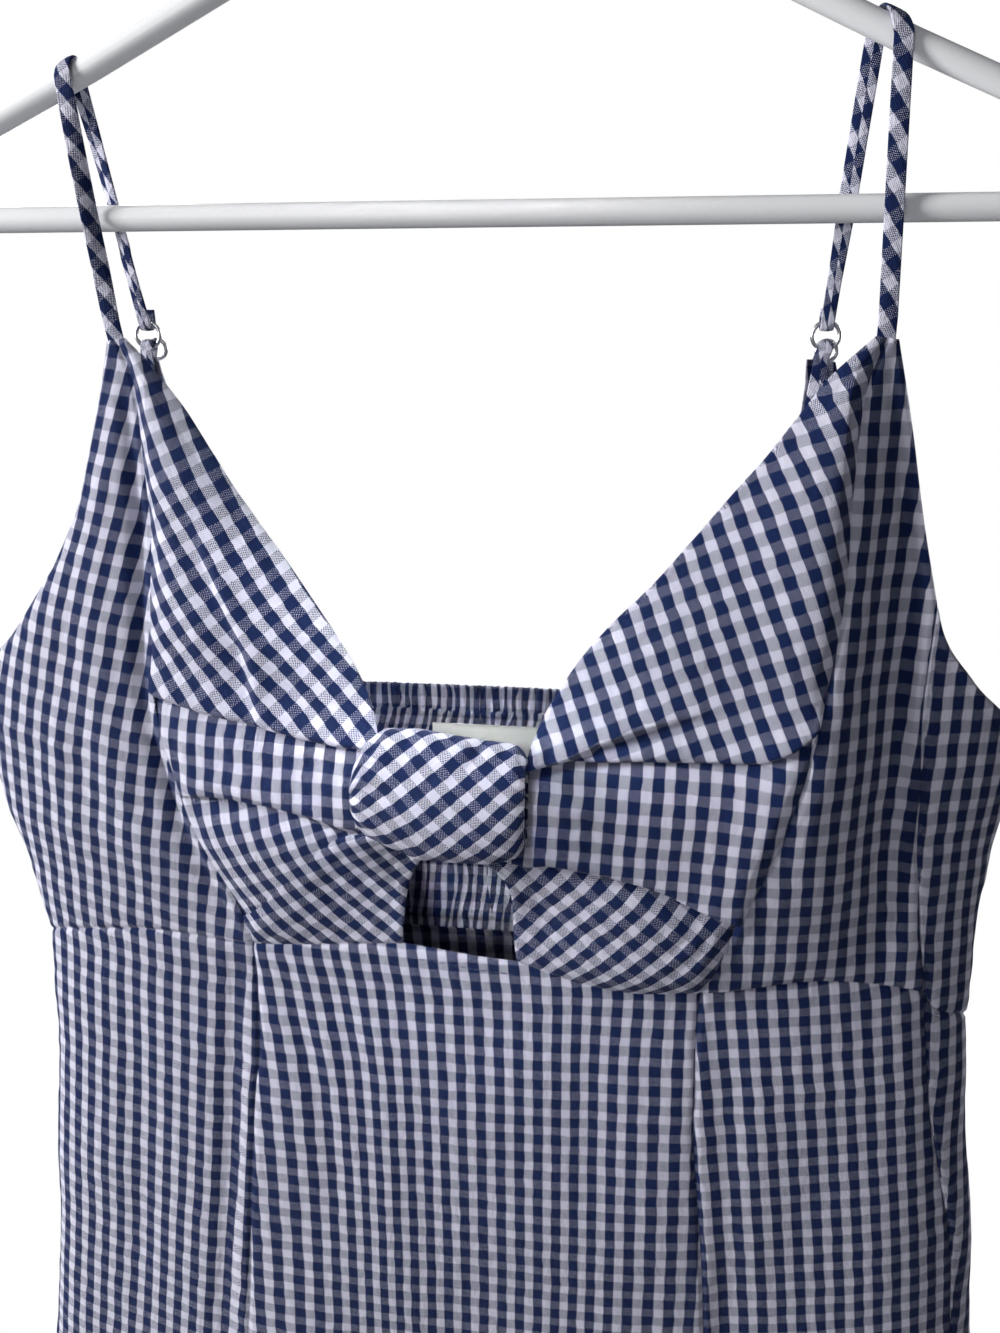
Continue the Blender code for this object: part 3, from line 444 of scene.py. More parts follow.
def patternSize(pattern):
    # Sides of the smallest rectangle that holds the cut, and the cut's own area, in metres
    a, b = pattern[1:, 1:] - pattern[:-1, :-1], pattern[1:, :-1] - pattern[:-1, 1:]
    area = 0.5 * abs((a[..., 0] * b[..., 1] - a[..., 1] * b[..., 0]).sum()) * mm * mm
    best = None
    for lean in range(0, 90, 3):
        laid = turned(pattern.reshape(-1, 2), lean)
        span = (laid.max(0) - laid.min(0)) * mm
        if best is None or span[0] * span[1] < best[0] * best[1]:
            best = span
    flat = (round(float(best[0]), 4), round(float(best[1]), 4))
    return flat, min(area, 0.999 * flat[0] * flat[1])


def mathNode(tree, operation, *values):
    node = tree.nodes.new("ShaderNodeMath")
    node.operation = operation
    for socket, value in zip(node.inputs, values):
        plug(tree, socket, value)
    return node.outputs[0]


def plug(tree, socket, value):
    if isinstance(value, bpy.types.NodeSocket):
        tree.links.new(value, socket)
    else:
        socket.default_value = value


def smoothNode(tree, value, low, high):
    node = tree.nodes.new("ShaderNodeMapRange")
    node.interpolation_type = "SMOOTHSTEP"
    for socket, setting in zip(node.inputs, (value, low, high)):
        plug(tree, socket, setting)
    return node.outputs[0]


def mixNode(tree, factor, first, second):
    node = tree.nodes.new("ShaderNodeMix")
    node.data_type = "RGBA"
    for index, value in ((0, factor), (6, first), (7, second)):  # 6 and 7 are its two colours
        plug(tree, node.inputs[index], value)
    return node.outputs[2]


def noiseNode(tree, vector, scale, detail=2.0, roughness=0.5):
    node = tree.nodes.new("ShaderNodeTexNoise")
    plug(tree, node.inputs["Vector"], vector)
    node.inputs["Scale"].default_value = scale
    node.inputs["Detail"].default_value = detail
    node.inputs["Roughness"].default_value = roughness
    return node.outputs["Fac"]


def stretchNode(tree, vector, x, y):
    node = tree.nodes.new("ShaderNodeVectorMath")
    node.operation = "MULTIPLY"
    plug(tree, node.inputs[0], vector)
    node.inputs[1].default_value = (x, y, 1.0)
    return node.outputs[0]


def newGroup(name, inputs, outputs):
    tree = bpy.data.node_groups.new(name, "ShaderNodeTree")
    for label, kind, value in inputs:
        socket = tree.interface.new_socket(name=label, in_out="INPUT", socket_type=kind)
        if value is not None:
            socket.default_value = value
    for label, kind in outputs:
        tree.interface.new_socket(name=label, in_out="OUTPUT", socket_type=kind)
    return tree, tree.nodes.new("NodeGroupInput").outputs, tree.nodes.new("NodeGroupOutput").inputs


def shadedColour(tree, shade, tint):
    node = tree.nodes.new("ShaderNodeHueSaturation")
    tree.links.new(shade, node.inputs["Value"])
    tree.links.new(tint, node.inputs["Color"])
    return node.outputs[0]


# Thread sizes are in metres, scales are features to the metre
weave = {"warpThread": 0.00086, "weftThread": 0.00080, "bandBlur": 0.00014, "threadBlur": 0.25,
         "wander": 0.0017, "wanderScale": 130.0, "fuzz": 0.9, "fuzzScale": 1900.0, "threadRise": 0.045,
         "streaks": 0.26, "streakScale": 900.0, "clouds": 0.16, "cloudScale": 26.0, "darkest": 0.79,
         "creases": 0.55, "creaseScale": 330.0, "puckers": 0.45, "puckerScale": 170.0,
         "roughness": 0.76, "roughnessSpread": 0.16}


def weaveGroup():
    # Check of two colours woven from threads. The dark warp is bulkier and covers more of the weft.
    tree, given, result = newGroup(
        "checkedWeave",
        [("Place", "NodeSocketVector", None), ("Warp repeat", "NodeSocketFloat", 0.008),
         ("Weft repeat", "NodeSocketFloat", 0.008), ("Dark share", "NodeSocketFloat", 0.5),
         ("Dark", "NodeSocketColor", None), ("Light", "NodeSocketColor", None),
         ("Dark warp cover", "NodeSocketFloat", 0.8), ("Light warp cover", "NodeSocketFloat", 0.6),
         ("Crinkle", "NodeSocketFloat", 1.0)],
        [("Color", "NodeSocketColor"), ("Height", "NodeSocketFloat"), ("Roughness", "NodeSocketFloat")])
    place = given["Place"]
    wander = mathNode(tree, "MULTIPLY_ADD", noiseNode(tree, place, weave["wanderScale"], 3.0, 0.6),
                      weave["wander"], -0.5 * weave["wander"])
    split = tree.nodes.new("ShaderNodeSeparateXYZ")
    tree.links.new(place, split.inputs[0])
    across = mathNode(tree, "ADD", split.outputs[0], wander)
    along = mathNode(tree, "SUBTRACT", split.outputs[1], wander)
    lightShare = mathNode(tree, "SUBTRACT", 1.0, given["Dark share"])
    bands = []
    for value, size in ((across, given["Warp repeat"]), (along, given["Weft repeat"])):
        half = mathNode(tree, "MULTIPLY", size, 0.5)
        turnAt = mathNode(tree, "MULTIPLY", half, lightShare)
        wave = mathNode(tree, "SUBTRACT", mathNode(tree, "PINGPONG", value, half), turnAt)
        bands.append(smoothNode(tree, wave, -weave["bandBlur"], weave["bandBlur"]))
    warpTint = mixNode(tree, bands[0], given["Light"], given["Dark"])
    weftTint = mixNode(tree, bands[1], given["Light"], given["Dark"])
    threads = [mathNode(tree, "SINE", mathNode(tree, "MULTIPLY", value, 2 * math.pi / pitch))
               for value, pitch in ((across, weave["warpThread"]), (along, weave["weftThread"]))]
    crossing = mathNode(tree, "MULTIPLY", *threads)
    fuzz = noiseNode(tree, stretchNode(tree, place, 1.0, 0.6), weave["fuzzScale"], 1.0)
    uneven = mathNode(tree, "MULTIPLY_ADD", fuzz, weave["fuzz"], -0.5 * weave["fuzz"])
    lifted = mathNode(tree, "ADD", crossing, uneven)
    coverGap = mathNode(tree, "SUBTRACT", given["Dark warp cover"], given["Light warp cover"])
    cover = mathNode(tree, "MULTIPLY_ADD", coverGap, bands[0], given["Light warp cover"])
    level = mathNode(tree, "MULTIPLY_ADD", cover, 2.0, -1.0)
    top = smoothNode(tree, mathNode(tree, "ADD", lifted, level), -weave["threadBlur"], weave["threadBlur"])
    tint = mixNode(tree, top, weftTint, warpTint)
    streak = noiseNode(tree, stretchNode(tree, place, 1.0, 0.06), weave["streakScale"], 2.0)
    cloud = noiseNode(tree, place, weave["cloudScale"], 3.0)
    clouded = mathNode(tree, "MULTIPLY_ADD", cloud, weave["clouds"], weave["darkest"])
    shade = mathNode(tree, "MULTIPLY_ADD", streak, weave["streaks"], clouded)
    tree.links.new(shadedColour(tree, shade, tint), result["Color"])
    creases = noiseNode(tree, stretchNode(tree, place, 1.0, 0.42), weave["creaseScale"], 3.0, 0.62)
    puckers = noiseNode(tree, stretchNode(tree, place, 0.5, 1.0), weave["puckerScale"], 2.0, 0.5)
    crinkled = mathNode(tree, "ADD", mathNode(tree, "MULTIPLY", creases, weave["creases"]),
                        mathNode(tree, "MULTIPLY", puckers, weave["puckers"]))
    height = mathNode(tree, "MULTIPLY_ADD", crossing, weave["threadRise"],
                      mathNode(tree, "MULTIPLY", crinkled, given["Crinkle"]))
    tree.links.new(height, result["Height"])
    tree.links.new(mathNode(tree, "MULTIPLY_ADD", fuzz, weave["roughnessSpread"], weave["roughness"]),
                   result["Roughness"])
    return tree


hardSurface = {"cloudScale": 38.0, "scuffScale": 900.0}


def grainGroup():
    # Faint clouding and fine scuffs of a hard surface
    tree, given, result = newGroup(
        "fineGrain",
        [("Place", "NodeSocketVector", None), ("Base", "NodeSocketColor", None),
         ("Clouding", "NodeSocketFloat", 0.05), ("Scuffs", "NodeSocketFloat", 0.1),
         ("Smoothness", "NodeSocketFloat", 0.3)],
        [("Color", "NodeSocketColor"), ("Height", "NodeSocketFloat"), ("Roughness", "NodeSocketFloat")])
    place = given["Place"]
    cloud = mathNode(tree, "SUBTRACT", noiseNode(tree, place, hardSurface["cloudScale"], 3.0), 0.5)
    scuff = noiseNode(tree, stretchNode(tree, place, 0.25, 1.0), hardSurface["scuffScale"], 3.0, 0.7)
    shade = mathNode(tree, "MULTIPLY_ADD", cloud, given["Clouding"], 1.0)
    tree.links.new(shadedColour(tree, shade, given["Base"]), result["Color"])
    tree.links.new(scuff, result["Height"])
    rough = mathNode(tree, "MULTIPLY_ADD", scuff, given["Scuffs"], given["Smoothness"])
    tree.links.new(rough, result["Roughness"])
    return tree


checkedWeave = weaveGroup()
fineGrain = grainGroup()

# Names with a capital are the group's inputs, bump is strength and distance, shader is set on the shader
clothLook = {"Warp repeat": 0.0080, "Weft repeat": 0.0086, "Dark share": 0.54,
             "Dark": (0.0060, 0.0165, 0.078, 1), "Light": (0.65, 0.65, 0.77, 1),
             "Dark warp cover": 0.82, "Light warp cover": 0.56, "Crinkle": 1.0, "bump": (0.9, 0.0019),
             "shader": {"Specular IOR Level": 0.14, "Sheen Weight": 0.05, "Sheen Roughness": 0.5}}
threadLook = {"Base": (0.045, 0.06, 0.17, 1), "Clouding": 0.3, "Scuffs": 0.2, "Smoothness": 0.7,
              "bump": (0.4, 0.0002), "shader": {"Sheen Weight": 0.3}}
tapeLook = {"Base": (0.69, 0.70, 0.69, 1), "Clouding": 0.06, "Scuffs": 0.2, "Smoothness": 0.72,
            "bump": (0.5, 0.0003), "shader": {"Specular IOR Level": 0.25}}
plasticLook = {"Base": (0.88, 0.89, 0.91, 1), "Clouding": 0.05, "Scuffs": 0.10, "Smoothness": 0.24,
               "bump": (0.12, 0.0002), "shader": {"Coat Weight": 0.25, "Coat Roughness": 0.12}}
metalLook = {"Base": (0.74, 0.75, 0.77, 1), "Clouding": 0.10, "Scuffs": 0.14, "Smoothness": 0.16,
             "bump": (0.08, 0.0001), "shader": {"Metallic": 1.0}}


def groupMaterial(name, group, look):
    material = bpy.data.materials.new(name)
    material.use_nodes = True
    tree = material.node_tree
    shader = tree.nodes["Principled BSDF"]
    node = tree.nodes.new("ShaderNodeGroup")
    node.node_tree = group
    for label, value in look.items():
        if label in node.inputs:
            node.inputs[label].default_value = value
    if group is checkedWeave:
        place = tree.nodes.new("ShaderNodeUVMap")
        place.uv_map = "cloth"
        tree.links.new(place.outputs[0], node.inputs["Place"])
    else:
        place = tree.nodes.new("ShaderNodeTexCoord")
        tree.links.new(place.outputs["Object"], node.inputs["Place"])
    relief = tree.nodes.new("ShaderNodeBump")
    relief.inputs["Strength"].default_value, relief.inputs["Distance"].default_value = look["bump"]
    tree.links.new(node.outputs["Height"], relief.inputs["Height"])
    tree.links.new(relief.outputs[0], shader.inputs["Normal"])
    tree.links.new(node.outputs["Color"], shader.inputs["Base Color"])
    tree.links.new(node.outputs["Roughness"], shader.inputs["Roughness"])
    for label, value in look["shader"].items():
        shader.inputs[label].default_value = value
    return material


checkedCotton = groupMaterial("checkedCotton", checkedWeave, clothLook)
sewingThread = groupMaterial("sewingThread", fineGrain, threadLook)
labelTape = groupMaterial("labelTape", fineGrain, tapeLook)
hangerPlastic = groupMaterial("hangerPlastic", fineGrain, plasticLook)
strapMetal = groupMaterial("strapMetal", fineGrain, metalLook)
print("materials ready")


cloth = {"thickness": 0.55 * mm, "seamFade": 6.0, "gatherDrift": 2.4}
sheets = []  # piece, flat sides, flat area, what it rests on


def finishPiece(piece, material, node=None):
    piece.data.materials.append(material)
    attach(piece, "root")
    if node:
        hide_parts(node)
    return piece


def addSheet(piece, node, pattern, rests, material=checkedCotton):
    finishPiece(piece, material, node)
    sheets.append((piece, *patternSize(pattern), rests))


def nearestPoint(x, z, place):
    # Row and column of the grid point nearest to a place
    return np.unravel_index(np.argmin((x - place[0]) ** 2 + (z - place[1]) ** 2), x.shape)


def cutPattern(angle, x, z, arc, broad, seed, tilt=0.0, shift=(0, 0), bends=(), fullness=1.0, lying=1.0,
               pleat=None, fan=None):
    # Where each point of a piece lies on the flat cloth it is cut from, in millimetres
    middle = arc[arc.shape[0] // 2, arc.shape[1] // 2]
    across = (arc - middle) * fullness
    for atX, atZ, reach, drop, amount in bends:
        # The check runs aside below a height, in soft drapes
        slide = 1 / (1 + np.exp(np.clip((z - atZ) / drop, -30, 30)))
        across = across - amount * slide * np.exp(-((x - atX) / reach) ** 2)
    if fullness != 1.0:
        across = across + cloth["gatherDrift"] * softNoise(arc, z * 0.35, 5.0, seed + 5)
    pattern = turned(np.stack([across, z], -1), tilt)
    if fullness == 1.0 and not bends:
        laid = ringPoint(angle, z, broad) * (1.0, lying, 1.0)  # below 1 the cloth lies flatter than the form
        pattern = flattenPattern(laid, pattern)
    if fan is not None:
        bowed = fanPattern(arc, z, fan)
        below = 1.0
        if pleat is not None:
            below = softStep(-sideOfLine(x, z, pleat), -0.9, 0.9)[..., None]
            foot = nearestPoint(x, z, pleat[len(pleat) // 2])
            pattern = pattern + bowed[foot] - pattern[foot]
        pattern = pattern * (1 - below) + bowed * below
    return pattern + np.array(shift, float)


def clothPiece(node, top, bottom, left, right, edges, rests, step=1.6, columnStep=None, swell=None,
               creases=(), gathers=None, lift=None, lipFade=None, strength=1.0, seed=1, **cut):
    # One cut piece: its surface between four seams, its relief, and its own flat pattern
    places, s, t = coonsGrid(top, bottom, left, right, step, columnStep)
    angle, z = places[..., 0], places[..., 1]
    base = ringPoint(angle, z)
    x = base[..., 0] / mm
    span = gridSpans(base)
    broad = np.zeros_like(x) if swell is None else swell(s, t)
    for points, depth, width, *farWidth in creases:
        broad = broad + creaseRelief(x, z, points, depth, width, *farWidth)
    arc = arcLength(angle, z)
    out = broad + crinkle(arc, z, seed * 11, strength)
    for edge, style in edges.items():
        if style == "seam":
            out = out * np.clip(span[edge] / cloth["seamFade"], 0, 1)
    if lift is not None:
        out = out + lift(x, z)  # shared by neighbours, so it doesn't fade at their seam
    for edge, style in edges.items():
        run = arc if edge in ("top", "bottom") else z
        keep = 1.0
        if lipFade is not None and style in ("lip", "under") and edge == lipFade[0]:
            keep = 1 - (1.0 if style == "lip" else 0.6) * softStep(s, lipFade[1], lipFade[2])
        out = out + keep * edgeRelief(span[edge], run, style, seed * 7 + len(edge))
    if gathers is not None:
        out = out + gathers(arc, z, s, t)
    outward = ringPoint(angle, z, out + 1.0) - ringPoint(angle, z, out)
    pattern = cutPattern(angle, x, z, arc, broad, seed, **cut)
    piece = shellObject("cloth_" + node, ringPoint(angle, z, out), outward, cloth["thickness"], pattern)
    addSheet(piece, node, pattern, rests)


seamSteps = {"bust": 1.5, "upper": 1.9, "skirt": 3.4, "skirtRows": 4.2}


def cupSwell(rise, skew, start=0.0, low=0.0, high=1.0):
    # The cup swells between its seams, most of all near its outer one
    def swell(s, t):
        across = np.clip((s - start) / (1 - start), 0, 1)
        down = low + (high - low) * np.clip(t, 0, 1)
        return rise * np.sin(np.pi * down) ** 0.75 * np.sin(np.pi * across ** skew) ** 0.7
    return swell


bust = {}
for side in (-1, 1):
    bust[side] = {
        "neckline": seamPath(neckline[side]), "upper": seamPath(cupSeamUpper[side]),
        "middle": seamPath(cupSeamMiddle[side]), "lower": seamPath(cupSeamLower[side]),
        "base": seamPath(strapBase[side][:2]), "sideBase": seamPath(strapBase[side][1:]),
        "upperFold": seamPath(upperFold[side]), "lowerFold": seamPath(lowerFold[side]),
        "under": seamPath(underCup[side]), "keyhole": seamPath(keyholeSide[side]),
        "princess": seamPath(princess[side]), "skirtSide": seamPath(skirtSide[side]),
        "waist": seamPath(waist[side]),
    }
behindKnot = {1: [(-8, -386), (7, -389), neckline[1][-1]],
              -1: [(-8, -386), (-20, -385), neckline[-1][-1]]}
knotEnd = seamPath([(-8, -386), (-8, -413)])

upperCups = {
    1: {"tilt": -24, "seed": 3, "swell": cupSwell(6.5, 1.5), "shift": (1.0, 0.0), "creases": [
        ([(20, -394), (36, -384.5), (48, -379), (58, -375), (70, -371), (88, -366)], -2.4, 10.0, 1.2),
        ([(30, -390), (48, -382), (60, -379), (78, -376)], 2.0, 2.2),
        ([(112, -372), (96, -362), (70, -352)], 0.9, 5.0),
        ([(118, -340), (100, -322), (86, -318)], 0.7, 6.0)]},
    -1: {"tilt": 0, "seed": 4, "swell": cupSwell(8.0, 1.35), "shift": (0.0, 2.0),
         "fan": {"x": 200.0, "z": -110.0, "radius": 350.0}, "creases": [
        ([(-107, -305), (-101, -318), (-94, -334), (-87, -349), (-83, -371), (-80, -386)], 3.8, 3.0, 7.0),
        ([(-96, -318), (-88, -334), (-80, -352), (-77, -374)], -1.6, 4.0),
        ([(-76, -345), (-77, -362), (-74, -380)], -1.6, 4.5),
        ([(-68, -363), (-61, -372), (-49, -380)], 1.3, 2.6),
        ([(-62, -352), (-50, -366), (-40, -377)], 1.0, 3.0)]},
}
# The check lines below the left pleat bend round this place
leftFan = {"x": 55.0, "z": -376.0, "radius": 150.0}
leftPleat = [(-118, -413), (-92, -411), (-73, -412), (-61, -414), (-48, -417)]
middleCups = {
    1: {"tilt": 3, "seed": 5, "swell": cupSwell(6.5, 1.2, 0.2), "shift": (2.0, 1.0), "creases": [
        ([(20, -397), (34, -398), (52, -400)], 1.2, 3.0),
        ([(18, -408), (34, -410), (60, -414)], 1.3, 3.2),
        ([(20, -418), (38, -421), (58, -424)], 0.9, 2.6)]},
    -1: {"tilt": 2, "seed": 6, "swell": cupSwell(5.4, 1.2, 0.1, 0.0, 0.5), "shift": (0.0, 0.0),
         "lipFade": ("bottom", 0.2, 0.5), "pleat": leftPleat, "fan": leftFan, "creases": [
        (leftPleat, 4.2, 1.0, 7.0),
        ([(-114, -406), (-90, -404), (-66, -407)], -1.6, 4.5),
        ([(-46, -392), (-60, -393), (-74, -394)], 0.9, 3.0)]},
}
lowerCups = {
    1: {"tilt": 43, "seed": 7, "swell": cupSwell(7.0, 1.25, 0.15), "shift": (0.0, 0.0), "creases": [
        ([(24, -432), (38, -440), (60, -447)], 1.0, 3.6),
        ([(20, -446), (40, -456), (66, -462)], 0.8, 4.0),
        ([(92, -446), (86, -462), (74, -474)], 0.9, 2.4),
        ([(88, -444), (80, -458), (68, -468)], 0.7, 2.2)]},
    -1: {"tilt": 0, "seed": 8, "swell": cupSwell(5.4, 1.2, 0.1, 0.5, 1.0), "shift": (0.0, 0.0),
         "lipFade": ("top", 0.2, 0.5), "fan": leftFan, "creases": [
        ([(-50, -428), (-40, -438), (-30, -446)], 1.0, 3.0),
        ([(-62, -440), (-50, -452), (-38, -460)], 0.9, 3.4),
        ([(-80, -462), (-62, -466), (-40, -466)], 0.8, 2.6)]},
}

knotPlace = {"x": -8.0, "z": -402.0, "reach": 40.0, "drop": 30.0, "rise": 8.0}


def knotLift(x, z):
    # The cups rise towards the knot and run into its sleeve
    away = (x - knotPlace["x"]) / knotPlace["reach"]
    below = (z - knotPlace["z"]) / knotPlace["drop"]
    return knotPlace["rise"] * np.exp(-(away ** 2 + below ** 2))


rightRidge = {
    "upper": [(135.5, -232), (130, -295), (129.5, -320), (127, -342), (121, -372), (116, -400),
              (108, -430)],
    "lower": [(129, -350), (121, -372), (114.5, -404), (108, -428), (99.5, -449), (95, -467),
              (88, -492)],
}


def sideRidge(x, z):
    # The right cup's outer seam stands proud, and the panel beside it falls back from it
    return (creaseRelief(x, z, rightRidge["upper"], -7.5, 13.0, 24.0)
            + creaseRelief(x, z, rightRidge["lower"], -6.5, 32.0, 16.0))


def cupLift(side):
    if side < 0:
        return knotLift
    return lambda x, z: knotLift(x, z) + sideRidge(x, z)


def tucked(path, amount):
    # An edge that runs on beneath its neighbour between its two ends
    share = np.linspace(0, 1, len(path))
    return np.stack([path[:, 0], path[:, 1] + amount * np.sin(np.pi * share) ** 0.5], -1)


for side, name in ((-1, "L"), (1, "R")):
    lines = bust[side]
    clothPiece("cup_upper_" + name, lines["base"], lines["upperFold"], lines["neckline"], lines["upper"],
               {"left": "hem", "right": "seam", "bottom": "lip", "top": "hem"}, ["strap_" + name],
               step=seamSteps["bust"], lift=cupLift(side), **upperCups[side])
    middleTop = joinPaths(seamPath(behindKnot[side]), tucked(lines["upperFold"], 5.0))
    overLower = side > 0  # the right middle piece laps over the lower one, the left one is under it
    middleLow = lines["lowerFold"] if overLower else tucked(lines["lowerFold"], -5.0)
    clothPiece("cup_middle_" + name, middleTop, middleLow, knotEnd, lines["middle"],
               {"right": "seam", "top": "under", "bottom": "lip" if overLower else "under"}, ["knot"],
               step=seamSteps["bust"], lift=cupLift(side), **middleCups[side])
    lowerTop = tucked(lines["lowerFold"], 5.0) if overLower else lines["lowerFold"]
    clothPiece("cup_lower_" + name, lowerTop, lines["under"], lines["keyhole"], lines["lower"],
               {"left": "hem", "right": "seam", "top": "under" if overLower else "lip", "bottom": "seam"},
               ["knot"], step=seamSteps["bust"], lift=cupLift(side), **lowerCups[side])
print("cups ready")

sideUppers = {
    1: {"tilt": 0, "seed": 9, "lift": sideRidge, "creases": [
        ([(147, -238), (150, -262), (152, -300), (153, -345), (153, -390), (154, -430), (156, -480)],
         8.5, 8.0, 15.0),
        ([(140, -270), (141, -320), (137, -380)], 1.6, 4.0)]},
    -1: {"tilt": 11.0, "seed": 10, "lying": 0.3, "creases": [
        ([(-131, -255), (-127, -310), (-126, -372), (-116, -425), (-100, -468)], 4.5, 6.0, 3.2),
        ([(-140, -300), (-146, -360), (-138, -430), (-120, -470)], -1.8, 9.0),
        ([(-158, -372), (-166, -410), (-164, -450)], -1.5, 7.0)]},
}
sideSkirts = {
    1: {"tilt": -6.0, "seed": 12, "creases": [([(100, -490), (103, -560), (112, -700)], 1.6, 7.0)]},
    -1: {"tilt": 6.5, "seed": 13, "lying": 0.3, "creases": [
        ([(-96, -478), (-101, -505), (-104, -540), (-110, -600), (-120, -700)], 3.2, 5.0),
        ([(-150, -490), (-152, -560), (-160, -680)], 1.4, 8.0)]},
}


def sideSwell(s, t):
    return 3.0 * np.sin(np.pi * s) * np.sin(np.pi * t) ** 0.7


for side, name in ((-1, "L"), (1, "R")):
    lines = bust[side]
    inner = joinPaths(lines["upper"], lines["middle"], lines["lower"])
    if side > 0:
        outer = joinPaths(seamPath(armhole[1]), seamPath(sideSeam[1]))
    else:
        outer = joinPaths(seamPath(armhole[-1]), seamPath(armpit[-1]), seamPath(sideSeam[-1]))
    clothPiece("front_side_upper_" + name, lines["sideBase"], lines["waist"], inner, outer,
               {"left": "seam", "right": "seam", "bottom": "seam"}, ["strap_" + name],
               step=seamSteps["upper"], swell=sideSwell, **sideUppers[side])
    hem = straightPath(lines["princess"][-1], lines["skirtSide"][-1])
    clothPiece("front_side_skirt_" + name, lines["waist"], hem, lines["princess"], lines["skirtSide"],
               {"left": "seam", "right": "seam", "top": "seam", "bottom": "hem"},
               ["front_side_upper_" + name], step=seamSteps["skirtRows"], columnStep=seamSteps["skirt"],
               **sideSkirts[side])

centreTop = joinPaths(bust[-1]["under"][::-1], seamPath(keyholeBottom), bust[1]["under"])
centreHem = straightPath(bust[-1]["princess"][-1], bust[1]["princess"][-1])
clothPiece("front_centre_skirt", centreTop, centreHem, bust[-1]["princess"], bust[1]["princess"],
           {"left": "seam", "right": "seam", "top": "seam", "bottom": "hem"}, ["cup_lower_L", "cup_lower_R"],
           step=seamSteps["skirtRows"], columnStep=seamSteps["skirt"], seed=14,
           bends=[(-62, -515, 34, 13, 7.0), (60, -500, 26, 10, -3.0)],
           creases=[([(-82, -482), (-74, -510), (-64, -545), (-60, -600)], 1.3, 6.0),
                    ([(-62, -480), (-54, -512), (-46, -545)], 0.9, 6.0),
                    ([(-40, -500), (-36, -560), (-38, -640)], -0.9, 8.0),
                    ([(40, -486), (48, -520), (50, -600)], 1.0, 8.0)])
print("front ready")


def backSide(side, name):
    inner = joinPaths(seamPath(backNeck[side], "back"), seamPath(panelSide[side], "back"))
    top = joinPaths(seamPath(backPoint[side], "back"), seamPath(backArmhole[side], "back"))
    bottom = seamPath(backWaist[side], "back")
    outer = seamPath(sideSeam[side])
    if side > 0:
        top = joinPaths(top, seamPath(armpit[1])[::-1])
        bottom = joinPaths(bottom, seamPath(wrapWaist)[::-1])
    else:
        top, bottom, inner, outer = (leftTurn(path) for path in (top, bottom, inner, outer))
    clothPiece("back_side_" + name, top, bottom, inner, outer,
               {"left": "seam", "right": "seam", "top": "hem", "bottom": "seam"}, ["back_tab_" + name],
               step=2.2, seed=15 + side)


for side, name in ((-1, "L"), (1, "R")):
    backSide(side, name)

smocking = {"rows": (-392, -403, -414, -425, -436, -448, -460, -472, -486, -492), "pitch": 3.1,
            "rise": 2.0, "casingTop": -379.5, "casingBottom": -392.0, "bottom": -492.0, "fullness": 1.75}


def panelEdge(z, side):
    (topX, topZ), (lowX, lowZ) = panelSide[1]
    topAngle = np.pi - frontAngle(np.array(topX * side), np.array(topZ))
    lowAngle = np.pi - frontAngle(np.array(lowX * side), np.array(lowZ))
    share = (topZ - z) / (topZ - lowZ)
    return np.array([topAngle * (1 - share) + lowAngle * share, z])


def gatherWaves(arc, z, seed):
    # Close pleats of uneven width that wander a little down the panel
    wander = arc + 1.3 * softNoise(arc, z * 0.5, 9.0, seed) + 0.5 * softNoise(arc, z, 4.0, seed + 1)
    wave = 0.5 - 0.5 * np.cos(2 * np.pi * wander / smocking["pitch"])
    depth = 0.72 + 0.28 * softNoise(arc, z * 0.6, 6.0, seed + 2)
    return smocking["rise"] * wave * depth


def smockGathers(arc, z, s, t):
    nearest = np.min([np.abs(z - row) for row in smocking["rows"]], axis=0)
    puff = np.clip(nearest / 5.5, 0, 1) ** 0.5
    return gatherWaves(arc, z, 31) * (0.55 + 0.45 * puff) - 0.9 * np.exp(-(nearest / 0.8) ** 2)


def casingGathers(arc, z, s, t):
    return gatherWaves(arc, z, 41) * (0.75 + 0.25 * np.sin(np.pi * t))


def backStrip(node, topZ, lowZ, gathers, rests, seed):
    (topRight, topLeft), (lowRight, lowLeft) = (
        [panelEdge(z, side) for side in (1, -1)] for z in (topZ, lowZ))
    clothPiece(node, straightPath(topRight, topLeft), straightPath(lowRight, lowLeft),
               straightPath(topRight, lowRight), straightPath(topLeft, lowLeft), {}, rests, step=0.95,
               columnStep=0.62, gathers=gathers, fullness=smocking["fullness"], strength=0.5, seed=seed)


backStrip("back_casing", smocking["casingTop"], smocking["casingBottom"], casingGathers,
          ["back_side_L", "back_side_R"], 18)
backStrip("back_smocked_panel", smocking["casingBottom"] + 1.5, smocking["bottom"] - 3.0, smockGathers,
          ["back_casing"], 19)

rightWaist, leftWaist = seamPath(backWaist[1], "back"), leftTurn(seamPath(backWaist[-1], "back"))
backTop = joinPaths(seamPath(wrapWaist), rightWaist[::-1], straightPath(rightWaist[0], leftWaist[0]),
                    leftWaist)
backRight, backLeft = bust[1]["skirtSide"], leftTurn(bust[-1]["skirtSide"])
clothPiece("back_skirt", backTop, straightPath(backRight[-1], backLeft[-1]), backRight, backLeft,
           {"left": "seam", "right": "seam", "top": "seam", "bottom": "hem"}, ["back_smocked_panel"],
           step=4.6, columnStep=4.0, seed=20,
           creases=[([(-60, -500), (-64, -560), (-70, -640)], 1.2, 7.0),
                    ([(30, -500), (36, -570), (40, -660)], 1.4, 8.0),
                    ([(110, -505), (118, -600), (130, -720)], 1.2, 9.0)])
print("back ready")

